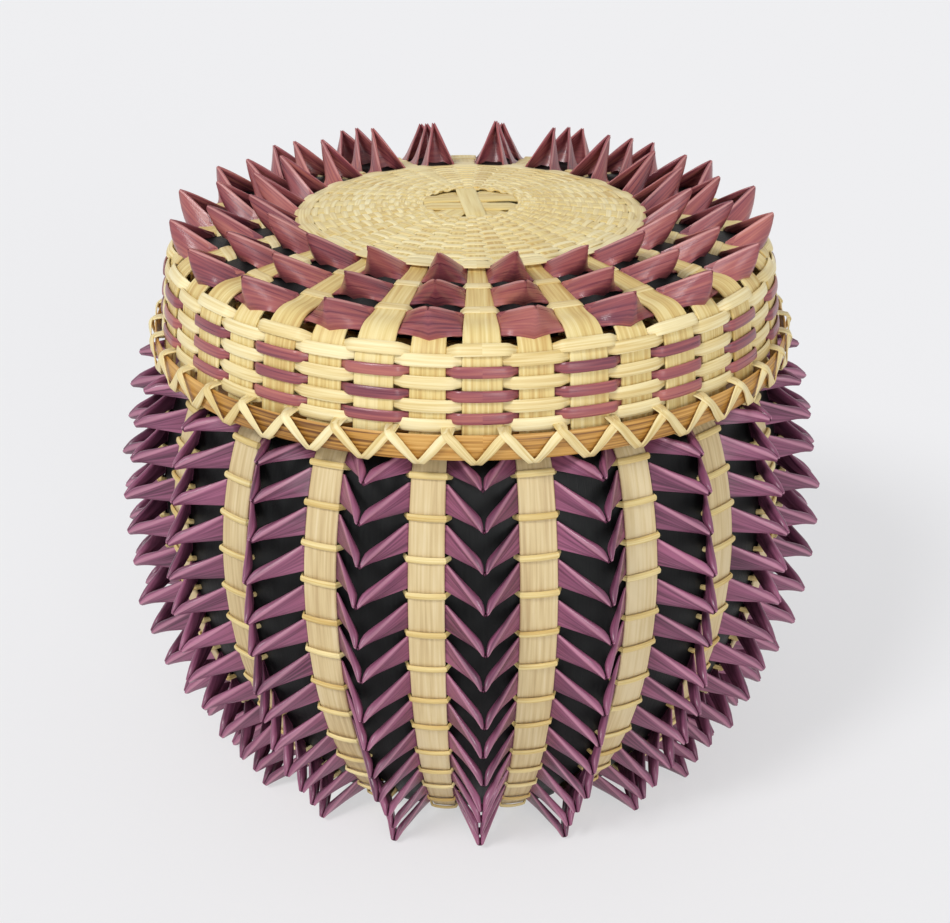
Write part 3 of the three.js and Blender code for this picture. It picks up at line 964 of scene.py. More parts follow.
@dataclass(frozen=True)
class Hoop:
    """A hoop with eased edges where the frame's hoop is."""

    node: str  # the frame's hoop
    finish: SplintFinish
    body: Body
    slimmer: float = 0.0  # how far its outside lies inside the frame's
    lower: float = 0.0  # how far its foot hangs under the frame's

    SPARE = 5.0  # how far its half section goes on past its edges
    THINNER = 0.5  # than the room between its radii
    CROWN = 0.25
    WAVES = ((0.06, 5, 0.0), (0.04, 13, 0.0))
    GRAIN = 60.0

    def build(self) -> None:
        """Builds the hoop."""
        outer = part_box(self.node)[1].x / MM - self.slimmer
        inner = inner_radius(self.node)
        bottom, top = heights(self.node)
        bottom -= self.lower
        middle = (inner + outer) / 2
        half = (top - bottom) / 2
        ends = [(middle, bottom - self.SPARE), (middle, top + self.SPARE)]
        line = Profile(ends, [0.0, 0.0], outside=1.0)
        angles = round_angles(HOOP_STEPS)
        waves = waver(angles, *self.WAVES)
        cut = Cut(outer - inner - self.THINNER, self.CROWN)
        skin = Skin()
        ring_band(skin, line, half + self.SPARE, angles, waves, half, cut, self.GRAIN)
        piece(skin, self.node + "_splint", self.finish, self.body, self.node)


@dataclass
class Wall:
    """The basket's own body: stakes, rows of points, thin weavers, base and rim."""

    base_radius: float = 58.0
    belly_height: float = 82.0
    shoulder_radius: float = 82.2
    shoulder_height: float = 118.5
    neck_radius: float = 72.4
    neck_height: float = 126.0
    foot_flare: float = 16.0
    foot_lean: float = 15.5
    belly_round: float = 36.0
    belly_upper: float = 15.0
    base_ease: float = 3.0
    shoulder_ease: float = 1.8
    neck_ease: float = 2.0
    stake_cut: Cut = Cut(0.8, 0.12)
    stake_width: float = 9.4
    stake_sway: float = 0.12
    stake_widths: tuple[float, float] = (0.97, 1.04)  # narrowest and widest share
    crossing_step: float = 0.02  # between the stakes where they cross under the base
    crossing_radius: float = 26.0
    crossing_fade: float = 8.0
    least_half: float = 1.4  # of a stake, near the middle of the base
    # Wider than a real black stake: the extra width is painted shade, a dark backing that fills the hollows
    # between the points.
    black_width: float = 21.0
    black_offset: float = -2.1  # up the wall, from the natural stakes' middle
    black_under: float = 1.45  # under the natural stakes, across the base
    black_crown: float = 0.6
    black_narrow: float = 0.62  # share of its width that a black stake keeps under the base
    black_turn: float = 6.0  # how far before and past the base's edge a black stake changes level
    black_spread: tuple[float, float] = (3.0, 16.0)  # past the base, where it widens and how fast
    weave_start: float = 25.5
    weave_pitch: float = 2.5
    weave_rounds: int = 12
    weave_half: float = 0.95
    weave_offset: float = 0.72
    weave_wave: float = 0.12  # how far a round rises over a stake and dips under the next
    weave_cut: Cut = Cut(0.5, 0.08)
    weaver_cut: Cut = Cut(0.5, 0.22)
    weaver_half: float = 0.85
    weaver_behind: float = -3.3  # where a thin weaver passes the black stakes
    weaver_rise: float = 4.1  # from there to where it passes the natural ones
    weaver_bow: float = 0.55
    weaver_bow_past: float = 1.5  # past the stake's edge, where the bow ends
    weaver_clear: float = 2.0  # past the stake's edge, where a weaver is down behind the black ones
    weaver_ramp: float = 1.9  # over what length it comes down
    weaver_narrow: float = 0.72  # share of its width that it keeps behind
    row_over_weaver: float = 4.9  # along the wall
    top_row_over_weaver: float = 4.3
    top_hidden_half: float = 1.6  # of the top row's splint behind a stake
    hidden_lap: float = 0.6  # how far the splint behind a stake reaches into the arms beside it
    hidden_depth: float = 0.1  # behind the arms' roots
    settle: float = 4.5  # the most that a row sits away from the frame's row
    neck_cut: Cut = Cut(0.6, 0.1)
    neck_behind: float = -0.2
    neck_over: float = 1.3
    neck_clear: float = 5.6  # from the stake's middle, where the neck weaver is down
    neck_ramp: float = 2.2
    rim_depth: float = 3.2  # from the neck in to the rim's inside
    rim_lash_half: float = 1.1
    weaver_heights: tuple[float, ...] = (
        116.8, 107.0, 97.1, 87.3, 76.2, 66.5, 55.8, 46.4, 35.6, 27.0, 19.4, 11.2, 5.3,
    )
    tip_radii: tuple[float, ...] = (
        93.4, 96.3, 98.2, 100.4, 100.7, 99.9, 99.0, 96.8, 93.3, 88.4, 82.0, 78.0, 75.0,
    )
    tip_heights: tuple[float, ...] = (
        118.2, 108.6, 98.2, 87.6, 76.5, 66.4, 54.3, 44.2, 33.6, 22.6, 13.7, 6.9, 1.4,
    )
    finishes: Finishes = field(default_factory=Finishes)
    fold: Fold = field(default_factory=Fold)
    rng: np.random.Generator = field(default_factory=lambda: np.random.default_rng(7))

    BASE_STEPS = 16
    WALL_STEPS = 90
    HIDDEN_STEPS = 5
    LEVEL_STRIDE = 7  # from one stake's level to the next one's
    WEAVER_WAVES = ((0.25, 3), (0.12, 11))
    LATEST_START = 6  # of a wave

    # How far apart the splints lie on the grain map, or where they start on it.
    STAKE_LANE = 20.0
    WEAVE_LANE = 9.0
    NECK_LANE = 33.0
    HIDDEN_LANE = 42.5 * LANE
    LAST_WEAVER_LANE = 400

    def __post_init__(self) -> None:
        """Reads the frame's heights and builds the wall's half section."""
        bottom, top = heights("natural_stakes")
        floor = bottom + self.stake_cut.thickness / 2
        start = np.array([self.base_radius, floor])
        belly = np.array([BELLY_RADIUS, self.belly_height])
        shoulder = np.array([self.shoulder_radius, self.shoulder_height])
        hold = (belly + shoulder) / 2
        hold[1] = self.shoulder_height - self.belly_upper / 2
        foot = start + [self.foot_flare, self.foot_lean]
        lower = sweep(start, foot, belly - [0.0, self.belly_round], belly)
        upper = sweep(belly, belly + [0.0, self.belly_upper], hold, shoulder)
        corners = [(0.0, floor), *map(tuple, lower), *map(tuple, upper[1:])]
        corners += [(self.neck_radius, self.neck_height), (self.neck_radius, top)]
        plain = [0.0] * (len(corners) - 5)
        eases = [0.0, self.base_ease, *plain, self.shoulder_ease, self.neck_ease, 0.0]
        self.profile = Profile(corners, eases, outside=1.0)

    def stake_half(self, distance: Numbers, width: float) -> Numbers:
        """Half a stake's width, which follows the basket's radius."""
        radius = self.profile.at(distance)[..., 0]
        return np.maximum(width / 2 * radius / BELLY_RADIUS, self.least_half)

    def build(self) -> None:
        """Builds every piece of the basket."""
        self.stakes()
        self.base_weave()
        for row in range(1, len(self.weaver_heights) + 1):
            self.row(row)
        self.neck()
        self.rim()

    def stakes(self) -> None:
        """Builds the natural stakes and the black ones between them, widened so that they also fill the
        hollows with painted shade.
        """
        base = self.base_radius
        up_wall = np.linspace(base, self.profile.length, self.WALL_STEPS)[1:]
        stations = np.concatenate([np.linspace(0, base, self.BASE_STEPS), up_wall])
        at_base = smooth((base + self.black_turn - stations) / (2 * self.black_turn))
        at_middle = smooth((self.crossing_radius - stations) / self.crossing_fade)
        spread_from, spread_run = self.black_spread
        spread = smooth((stations - base - spread_from) / spread_run)
        depths = self.black_under * at_base + self.black_offset * (1 - at_base)
        narrowed = self.black_narrow + (1 - self.black_narrow) * spread
        black_cut = Cut(self.stake_cut.thickness, self.black_crown * float(np.mean(spread)))
        natural = Skin()
        black = Skin()
        for k in range(COLUMNS):
            lane = self.STAKE_LANE * k
            # Where the stakes cross, each lies at a level of its own.
            step = k * self.LEVEL_STRIDE % COLUMNS - COLUMNS / 2
            level = step * self.crossing_step * at_middle
            offsets = level + self.rng.uniform(-self.stake_sway, self.stake_sway)
            width = self.stake_width * self.rng.uniform(*self.stake_widths)
            halves = self.stake_half(stations, width)
            angle = FRONT + (k + 0.5) * TURN
            stake_band(natural, self.profile, angle, stations, offsets, halves, self.stake_cut, lane)
            # The black stakes are wider than the real ones, so the shadowed hollows between the points are
            # filled with painted shade.
            halves = self.stake_half(stations, self.black_width) * narrowed
            angle = FRONT + k * TURN
            stake_band(black, self.profile, angle, stations, depths, halves, black_cut, lane)
        piece(natural, "natural_stake_splints", self.finishes.stake, Body.BASKET, "natural_stakes")
        piece(black, "black_stake_splints", self.finishes.black, Body.BASKET, "black_stakes")

    def base_weave(self) -> None:
        """Builds the woven round of the underside."""
        skin = Skin()
        angles = round_angles(HOOP_STEPS)
        for ring in range(self.weave_rounds):
            distance = self.weave_start + ring * self.weave_pitch
            wave = np.cos((angles - FRONT) * COLUMNS + ring % 2 * math.pi)
            offsets = self.weave_offset + self.weave_wave * wave
            lane = self.WEAVE_LANE * ring
            ring_band(skin, self.profile, distance, angles, offsets, self.weave_half, self.weave_cut, lane)
        piece(skin, "base_weave_rounds", self.finishes.weaver, Body.BASKET, "base_weave")

    def row(self, row: int) -> None:
        """Builds a row of points and the thin weaver under it.

        Args:
            row: Its number, counted from the top.
        """
        label = f"{row:02d}"
        framed = sum(heights("thin_weaver_" + label)) / 2
        wanted = self.weaver_heights[row - 1]
        height = float(np.clip(wanted, framed - self.settle, framed + self.settle))
        below = self.profile.at_height(height)
        distance = below + (self.row_over_weaver if row > 1 else self.top_row_over_weaver)
        half = float(self.stake_half(distance, self.stake_width))
        tip = (self.tip_radii[row - 1], self.tip_heights[row - 1] + height - wanted)
        seat = Seat(self.profile, distance, 1, half, tip)
        LOG.info("row %s: weaver %.1f (frame %.1f), tip %s", label, height, framed, tip)
        hidden_half = self.fold.width / 2 if row > 1 else self.top_hidden_half
        skin = Skin()
        for k in range(COLUMNS):
            lane = LANE * (k + COLUMNS * row)
            self.fold.point(skin, seat, FRONT + k * TURN, lane, self.rng)
            behind = FRONT + (k + 0.5) * TURN
            self.hidden_band(skin, seat, hidden_half, behind, lane + self.HIDDEN_LANE)
        piece(skin, "plum_points_" + label, self.finishes.plum, Body.BASKET, "point_row_" + label)
        self.thin_weaver(label, below)

    def hidden_band(self, skin: Skin, seat: Seat, half: float, angle: float, lane: float) -> None:
        """Adds the stretch of a plum splint that runs behind a natural stake.

        Args:
            skin: Where it goes.
            seat: Where the points beside it sit.
            half: Half its width.
            angle: Where the stake stands.
            lane: Where it starts on the grain map.
        """
        reach = (seat.stake_half - self.fold.tucked + self.hidden_lap) / self.profile.at(seat.distance)[0]
        angles = angle + np.linspace(-reach, reach, self.HIDDEN_STEPS)
        offsets = np.full(len(angles), self.fold.root - self.hidden_depth)
        ring_band(skin, self.profile, seat.distance, angles, offsets, half, Cut(self.fold.thickness), lane)

    def thin_weaver(self, label: str, distance: float) -> None:
        """Builds a thin weaver that bows over each natural stake and dives behind each black one.

        Args:
            label: The number of its row.
            distance: Where it crosses the wall's half section.
        """
        angles = round_angles(WEAVER_STEPS)
        half_stake = float(self.stake_half(distance, self.stake_width))
        away = np.abs(off_centre(angles, FRONT + TURN / 2)) * self.profile.at(distance)[0]
        over = smooth((half_stake + self.weaver_clear - away) / self.weaver_ramp)
        bowed = np.clip(away / (half_stake + self.weaver_bow_past), 0, 1)
        bow = self.weaver_bow * np.cos(bowed * math.pi / 2)
        offsets = self.weaver_behind + over * (self.weaver_rise + bow)
        waves = [(*wave, self.rng.uniform(0, self.LATEST_START)) for wave in self.WEAVER_WAVES]
        sway = waver(angles, *waves)
        halves = self.weaver_half * (self.weaver_narrow + (1 - self.weaver_narrow) * over)
        skin = Skin()
        lane = self.rng.uniform(0, self.LAST_WEAVER_LANE)
        ring_band(skin, self.profile, distance, angles, offsets, halves, self.weaver_cut, lane, sway)
        piece(skin, "thin_weaver_splint_" + label, self.finishes.weaver, Body.BASKET, "thin_weaver_" + label)

    def neck(self) -> None:
        """Builds the wide plain weaver of the neck."""
        bottom, top = heights("neck_weaver")
        distance = self.profile.at_height((bottom + top) / 2)
        angles = round_angles(NECK_STEPS)
        away = np.abs(off_centre(angles, FRONT + TURN / 2)) * self.neck_radius
        offsets = self.neck_behind + smooth((self.neck_clear - away) / self.neck_ramp) * self.neck_over
        half = (top - bottom) / 2
        skin = Skin()
        ring_band(skin, self.profile, distance, angles, offsets, half, self.neck_cut, self.NECK_LANE)
        piece(skin, "neck_weaver_splint", self.finishes.weaver, Body.BASKET, "neck_weaver")

    def rim(self) -> None:
        """Builds the rim's two hoops and the lashing round them."""
        Hoop("rim_outer_hoop", self.finishes.hoop, Body.BASKET).build()
        Hoop("rim_inner_hoop", self.finishes.hoop, Body.BASKET).build()
        inner = self.neck_radius - self.rim_depth
        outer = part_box("rim_outer_hoop")[1].x / MM
        bottom, top = heights("rim_lashing")
        skin = Skin()
        half = self.rim_lash_half
        Lashing(inner, outer, bottom, top, COLUMNS, half, 1.0, TURN / 2, FRONT + TURN / 4).wind(skin)
        piece(skin, "rim_lashing_splint", self.finishes.weaver, Body.BASKET, "rim_lashing")


@dataclass
class Lid:
    """The lid: stakes, crown, three rows of points, the woven side and its rim."""

    crown_height: float = 33.0
    hub_radius: float = 20.0
    hub_rise: float = 0.6  # of the very middle, over the edge of the hub
    top_radius: float = 77.0
    top_height: float = 27.9
    side_radius: float = 81.6
    side_height: float = 23.6
    rim_radius: float = 84.3
    rim_height: float = 0.3
    eases: tuple[float, ...] = (0.0, 6.0, 5.0, 4.0, 3.0, 3.0, 0.0)
    foot_lap: float = 0.25  # how far the section's foot lies under the frame's stakes
    stake_cut: Cut = Cut(0.8, 0.12)
    stake_sway: float = 0.1
    stake_widths: tuple[float, float] = (0.97, 1.03)  # narrowest and widest share
    stake_start: float = 14.0
    stake_width: float = 10.0
    point_stake_width: float = 9.2
    outer_offset: float = 1.5  # of the plain stakes down the side
    inner_offset: float = 0.9  # of the stakes under the points
    top_offset: float = 0.25  # of the plain stakes on the top
    crown_radius: float = 46.8
    crown_lift: float = 1.3
    crown_slope: tuple[float, float] = (2.0, 5.0)  # past the crown, where the stakes are down, and its run
    crown_first: float = 13.8  # radius of its innermost round
    crown_pitch: float = 1.6
    crown_rounds: int = 21
    crown_half: float = 0.86
    crown_edge_half: float = 2.3
    crown_cut: Cut = Cut(0.4, 0.08)
    crown_wave: float = 0.26
    crown_snap: float = 1.8  # how quickly a round goes from over to under
    crown_pinch: float = 0.16  # share of its width that a round loses on the way
    crown_fill: float = 0.066  # half a stake's width under the crown, by distance from the middle
    fill_end: tuple[float, float] = (1.0, 4.0)  # before the crown's edge, where that ends, and its run
    hub_cut: Cut = Cut(0.5, 0.1)
    hub_step: float = 0.22  # between the strips that cross at the middle
    hub_lift: float = 0.3
    hub_dip_from: float = 10.5
    hub_dip_run: float = 5.0
    hub_dip: float = 0.8  # of a strip's ends, under the crown weave
    hub_narrow: float = 0.8
    hub_narrow_from: float = 10.0
    hub_narrow_run: float = 10.0
    overlay_cut: Cut = Cut(0.6, 0.15)
    overlay_offset: float = -0.55
    overlay_rise: float = 1.45  # of an overlay's end, towards the lid's side
    overlay_lap: float = 0.3  # how far an overlay reaches under the stakes beside it
    overlay_tuck: float = 4.0  # how far it starts under the crown weave
    overlay_past: float = 0.2
    top_weaver_cut: Cut = Cut(0.3, 0.08)
    top_weaver_half: float = 1.2
    top_weaver_swell: float = 0.2  # how much wider it is over a stake
    top_weaver_offset: float = -1.05
    top_weaver_rise: float = 1.78
    top_weaver_clear: float = 1.4  # past the stake's edge, where it is down
    top_weaver_ramp: float = 1.3
    point_stake_drop: float = 2.15  # of the stakes under the points, below the plain ones
    drop_run: float = 3.0
    crown_rise: tuple[float, ...] = (1.9, 1.3)  # of the dome over the frame's, at the radii below
    rise_radii: tuple[float, ...] = (56.0, 67.0)
    row_radii: tuple[float, ...] = (50.2, 62.0, 74.2)
    tips: tuple[tuple[float, float], ...] = ((60.2, 166.8), (71.6, 164.0), (82.0, 161.0))
    weaver_radii: tuple[float, ...] = (56.2, 68.4)
    hem_lifts: tuple[float, ...] = (0.0, 0.0, 0.9)
    tip_lean: float = 1.3  # how much higher the points stand at the back, lower at the front
    side_drops: tuple[float, ...] = (1.3, 0.8, 0.4, 0.8, 1.3, 1.5, 1.9, 1.5)
    side_cut: Cut = Cut(0.55, 0.14)
    side_half: float = 1.6
    dyed_half: float = 1.42
    side_under: float = 0.75  # how far a side weaver passes under a stake's middle
    side_over: float = 0.68
    side_narrow: float = 0.7  # share of its width that it keeps behind
    side_arch: float = 0.5
    side_arch_past: float = 3.0  # past the stake's edge, where the arch ends
    side_clear: float = 4.2  # past the stake's edge, where a side weaver is down
    side_ramp: float = 3.6
    side_turn: tuple[float, float] = (6.0, 8.0)  # before the top's edge, where the side begins, and its run
    taper: float = 1.35  # how fast the stakes narrow towards the middle
    taper_ends: tuple[float, float] = (0.12, 1.1)  # the least and most share of a stake's width
    hoop_slimmer: float = 1.5  # of the outer hoop, which the lashing draws in
    lash_inset: float = 0.9  # how far the lashing's frame stands out from the hoop
    lash_half: float = 1.15
    lash_sag: float = 1.2  # how far the hoop and its lashing hang under the frame's
    lash_turn: float = 0.018  # how far its V's stand round from the columns
    finishes: Finishes = field(default_factory=Finishes)
    fold: Fold = field(
        default_factory=lambda: Fold(
            width=8.6, root_roll=0.1, full_roll=0.4, tip_roll=0.28, slit=0.0, flap=1.6, nose=0.4, bow=0.15,
            hem_out=1.4, hem_drop=0.9, hem_share=0.0, swell=0.5, keel_bulge=0.55, facet=2.3, dent=-0.75,
            ridge_rise=0.9, hem_rise=0.5, root=-0.6, tucked=0.8,
        )
    )
    rng: np.random.Generator = field(default_factory=lambda: np.random.default_rng(11))

    TOP_STEPS = 50
    FOOT_STEPS = 30
    HUB_STEPS = 31
    OVERLAY_STEPS = 40
    LASHINGS = ((-1.0, 0.0), (1.0, 0.45))  # the way that each slants, and how far it is raised

    # How far apart the splints lie on the grain map, or where they start on it.
    STAKE_LANE = 16.0
    HUB_LANE = 900.0
    HUB_LANE_STEP = 14
    CROWN_LANE = 5.0
    OVERLAY_LANE = 18.0
    TOP_WEAVER_LANE = 40.0
    SIDE_LANE = 11.0
    WALL_LANES = 20  # rows of the map that the wall's points take

    # The strips that cross at the middle, from the top down: degrees, how far aside, half the width.
    HUB_STRIPS = (
        (95, 0.0, 2.8),
        (3, 3.5, 3.0),
        (-2, -3.3, 3.0),
        (58, 0.0, 3.6),
        (122, 0.0, 3.6),
        (30, 0.0, 3.4),
        (150, 0.0, 3.4),
        (82, 0.0, 4.4),
    )

    def __post_init__(self) -> None:
        """Reads the frame's heights and builds the lid's half section."""
        lift = heights("lid_stakes")[0] - self.foot_lap
        slope = (self.crown_height - self.top_height) / (self.top_radius - self.hub_radius)
        edge = lift + self.crown_height + self.crown_rise[0]
        corners = [(0.0, edge + self.hub_rise), (self.hub_radius, edge)]
        for radius, rise in zip(self.rise_radii, self.crown_rise):
            corners.append((radius, lift + self.top_height + slope * (self.top_radius - radius) + rise))
        corners += [
            (self.top_radius, lift + self.top_height),
            (self.side_radius, lift + self.side_height),
            (self.rim_radius, lift + self.rim_height),
        ]
        self.profile = Profile(corners, list(self.eases), outside=-1.0)
        self.edge = self.profile.at_radius(self.top_radius)

    def build(self) -> None:
        """Builds every piece of the lid."""
        self.stakes()
        self.crown()
        self.overlays()
        for row in range(len(self.row_radii)):
            self.row(row)
        self.top_weavers()
        for row in range(1, len(self.side_drops) + 1):
            self.side_weaver(row)
        self.rim()

    def half_at(self, distance: Numbers, width: float) -> Numbers:
        """Half a stake's width, which follows the lid's radius."""
        radius = self.profile.at(distance)[..., 0]
        return width / 2 * np.clip((radius / self.rim_radius) ** self.taper, *self.taper_ends)

    def down_side(self, stations: np.ndarray) -> np.ndarray:
        """Share of the turn from the lid's top to its side that lies behind each station."""
        before, run = self.side_turn
        return smooth((stations - self.edge + before) / run)

    def stakes(self) -> None:
        """Builds the forty stake ends and the wide splints that cross at the middle."""
        on_top = np.linspace(self.stake_start, self.edge, self.TOP_STEPS)
        on_side = np.linspace(self.edge, self.profile.length, self.FOOT_STEPS)[1:]
        stations = np.concatenate([on_top, on_side])
        turned = self.down_side(stations)
        past, slope = self.crown_slope
        crown = self.crown_lift * smooth((self.crown_radius + past - stations) / slope)
        before, fade = self.fill_end
        under_crown = smooth((self.crown_radius - before - stations) / fade)
        drop = self.point_stake_drop * smooth((stations - self.crown_radius) / self.drop_run)
        skin = Skin()
        for k in range(2 * COLUMNS):
            plain = k % 2 == 0
            side_offset = self.outer_offset if plain else self.inner_offset
            sway = self.rng.uniform(-self.stake_sway, self.stake_sway)
            level = self.top_offset - (0.0 if plain else drop)
            offsets = crown + side_offset * turned + level * (1 - turned) + sway
            width = self.stake_width if plain else self.point_stake_width
            width *= self.rng.uniform(*self.stake_widths)
            # Under the crown the stakes fill the round, so that no light comes through the weave.
            halves = np.maximum(self.half_at(stations, width), self.crown_fill * stations * under_crown)
            angle = FRONT + k * TURN / 2
            lane = self.STAKE_LANE * k
            stake_band(skin, self.profile, angle, stations, offsets, halves, self.stake_cut, lane)
        self.hub(skin)
        piece(skin, "lid_stake_splints", self.finishes.lid_stake, Body.LID, "lid_stakes")

    def hub(self, skin: Skin) -> None:
        """Adds the wide splints that cross at the middle of the lid.

        Args:
            skin: Where they go.
        """
        up = np.array([0.0, 0.0, 1.0])
        runs = np.linspace(-self.hub_radius, self.hub_radius, self.HUB_STEPS)[:, None]
        away = np.abs(runs)
        dip = -self.hub_dip * smooth((away - self.hub_dip_from) / self.hub_dip_run)
        narrower = self.hub_narrow * smooth((away[:, 0] - self.hub_narrow_from) / self.hub_narrow_run)
        top = self.profile.at(0.0)[1] + self.crown_lift + self.hub_lift
        for level, (degrees, aside, half) in enumerate(self.HUB_STRIPS):
            angle = math.radians(degrees)
            way = np.array([math.cos(angle), math.sin(angle), 0.0])
            side = np.array([-way[1], way[0], 0.0])
            centre = way * runs + side * aside + up * (top - self.hub_step * level) + dip * up
            across = np.broadcast_to(side, centre.shape)
            out = np.broadcast_to(up, centre.shape)
            lane = self.HUB_LANE + self.HUB_LANE_STEP * level
            skin.band(centre, across, out, half - narrower, self.hub_cut, lane)

    def crown(self) -> None:
        """Builds the finely woven round, over and under every second stake by turns."""
        skin = Skin()
        angles = round_angles(WEAVER_STEPS)
        for ring in range(self.crown_rounds):
            distance = self.profile.at_radius(self.crown_first + ring * self.crown_pitch)
            wave = np.cos((angles - FRONT) * COLUMNS + ring % 2 * math.pi)
            weave = self.crown_wave * np.tanh(self.crown_snap * wave)
            offsets = self.crown_lift + self.crown_cut.thickness + weave
            sway = waver(angles, (0.14, 4, ring), (0.1, 9, 2 * ring))
            half = self.crown_half if ring < self.crown_rounds - 1 else self.crown_edge_half
            halves = half * (1 - self.crown_pinch * (1 - wave**2) ** 3)
            lane = self.CROWN_LANE * ring
            ring_band(skin, self.profile, distance, angles, offsets, halves, self.crown_cut, lane, sway)
        piece(skin, "crown_weave_rounds", self.finishes.lid_weaver, Body.LID, "crown_weave")

    def overlays(self) -> None:
        """Builds the black splints that fill the gaps between the plain stakes, under the points."""
        skin = Skin()
        start = self.profile.at_radius(self.crown_radius - self.overlay_tuck)
        stations = np.linspace(start, self.edge + self.overlay_past, self.OVERLAY_STEPS)
        turned = self.down_side(stations)
        gap = self.profile.at(stations)[:, 0] * math.sin(TURN / 2) - self.half_at(stations, self.stake_width)
        halves = gap + self.overlay_lap - 2 * self.overlay_lap * turned
        offsets = self.overlay_offset + self.overlay_rise * turned
        for k in range(COLUMNS):
            angle = FRONT + (k + 0.5) * TURN
            lane = self.OVERLAY_LANE * k
            stake_band(skin, self.profile, angle, stations, offsets, halves, self.overlay_cut, lane)
        piece(skin, "black_overlay_splints", self.finishes.black, Body.LID, "lid_black_overlays")

    def row(self, row: int) -> None:
        """Builds a row of the lid's points.

        Args:
            row: Its number, counted from the middle outwards, from 0.
        """
        distance = self.profile.at_radius(self.row_radii[row])
        half = float(self.half_at(distance, self.stake_width))
        radius, height = self.tips[row]
        skin = Skin()
        for k in range(COLUMNS):
            lane = LANE * (k + COLUMNS * (row + self.WALL_LANES))
            angle = FRONT + (k + 0.5) * TURN
            tip = (radius, height - self.tip_lean * math.cos(angle - FRONT))
            seat = Seat(self.profile, distance, -1, half, tip, self.hem_lifts[row])
            self.fold.point(skin, seat, angle, lane, self.rng)
        label = str(row + 1)
        piece(skin, "lid_plum_points_" + label, self.finishes.lid_plum, Body.LID, "lid_point_row_" + label)

    def top_weavers(self) -> None:
        """Builds the natural weavers that cross the plain stakes between the rows of points."""
        angles = round_angles(WEAVER_STEPS)
        for row, radius in enumerate(self.weaver_radii):
            distance = self.profile.at_radius(radius)
            half_stake = float(self.half_at(distance, self.stake_width))
            away = np.abs(off_centre(angles, FRONT)) * radius
            over = smooth((half_stake + self.top_weaver_clear - away) / self.top_weaver_ramp)
            offsets = self.top_weaver_offset + over * self.top_weaver_rise
            halves = self.top_weaver_half + self.top_weaver_swell * over
            lane = self.TOP_WEAVER_LANE * row
            skin = Skin()
            ring_band(skin, self.profile, distance, angles, offsets, halves, self.top_weaver_cut, lane)
            label = str(row + 1)
            name = "lid_top_weaver_splint_" + label
            piece(skin, name, self.finishes.lid_weaver, Body.LID, "lid_top_weaver_" + label)

    def side_weaver(self, row: int) -> None:
        """Builds a weaver of the lid's side.

        Args:
            row: Its number, counted from the top, from 1.
        """
        node = f"lid_side_weaver_{row}"
        distance = self.profile.at_height(sum(heights(node)) / 2 - self.side_drops[row - 1])
        over_plain = row % 2 == 1
        dyed = over_plain and row > 1
        first = FRONT if over_plain else FRONT + TURN / 2
        half_stake = (self.stake_width if over_plain else self.point_stake_width) / 2
        under = (self.inner_offset if over_plain else self.outer_offset) - self.side_under
        over = (self.outer_offset if over_plain else self.inner_offset) + self.side_over
        angles = round_angles(SIDE_STEPS)
        away = np.abs(off_centre(angles, first)) * self.profile.at(distance)[0]
        raised = smooth((half_stake + self.side_clear - away) / self.side_ramp)
        arched = np.clip(away / (half_stake + self.side_arch_past), 0, 1)
        arch = self.side_arch * np.cos(arched * math.pi / 2)
        offsets = under + raised * (over - under + arch)
        half = self.dyed_half if dyed else self.side_half
        halves = half * (self.side_narrow + (1 - self.side_narrow) * raised)
        sway = waver(angles, (0.12, 3, row), (0.08, 7, 3 * row))
        finish = self.finishes.lid_plum if dyed else self.finishes.lid_weaver
        lane = self.SIDE_LANE * row
        skin = Skin()
        ring_band(skin, self.profile, distance, angles, offsets, halves, self.side_cut, lane, sway)
        piece(skin, node + "_splint", finish, Body.LID, node)

    def rim(self) -> None:
        """Builds the lid's hoops and the cross lashing over them."""
        Hoop("lid_outer_hoop", self.finishes.hoop, Body.LID, self.hoop_slimmer, self.lash_sag).build()
        Hoop("lid_inner_hoop", self.finishes.hoop, Body.LID).build()
        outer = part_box("lid_lashing")[1].x / MM - self.lash_inset - self.hoop_slimmer
        bottom, top = heights("lid_lashing")
        foot = FRONT - self.lash_turn
        run = TURN / 4
        skin = Skin()
        for way, lift in self.LASHINGS:
            Lashing(
                inner_radius("lid_inner_hoop"),
                outer,
                bottom + Lashing.CLEAR - self.lash_sag,
                top - Lashing.CLEAR,
                2 * COLUMNS,
                self.lash_half,
                way,
                run,
                foot - way * run / 2,
                lift,
            ).wind(skin)
        piece(skin, "lid_cross_lashing", self.finishes.lid_weaver, Body.LID, "lid_lashing")


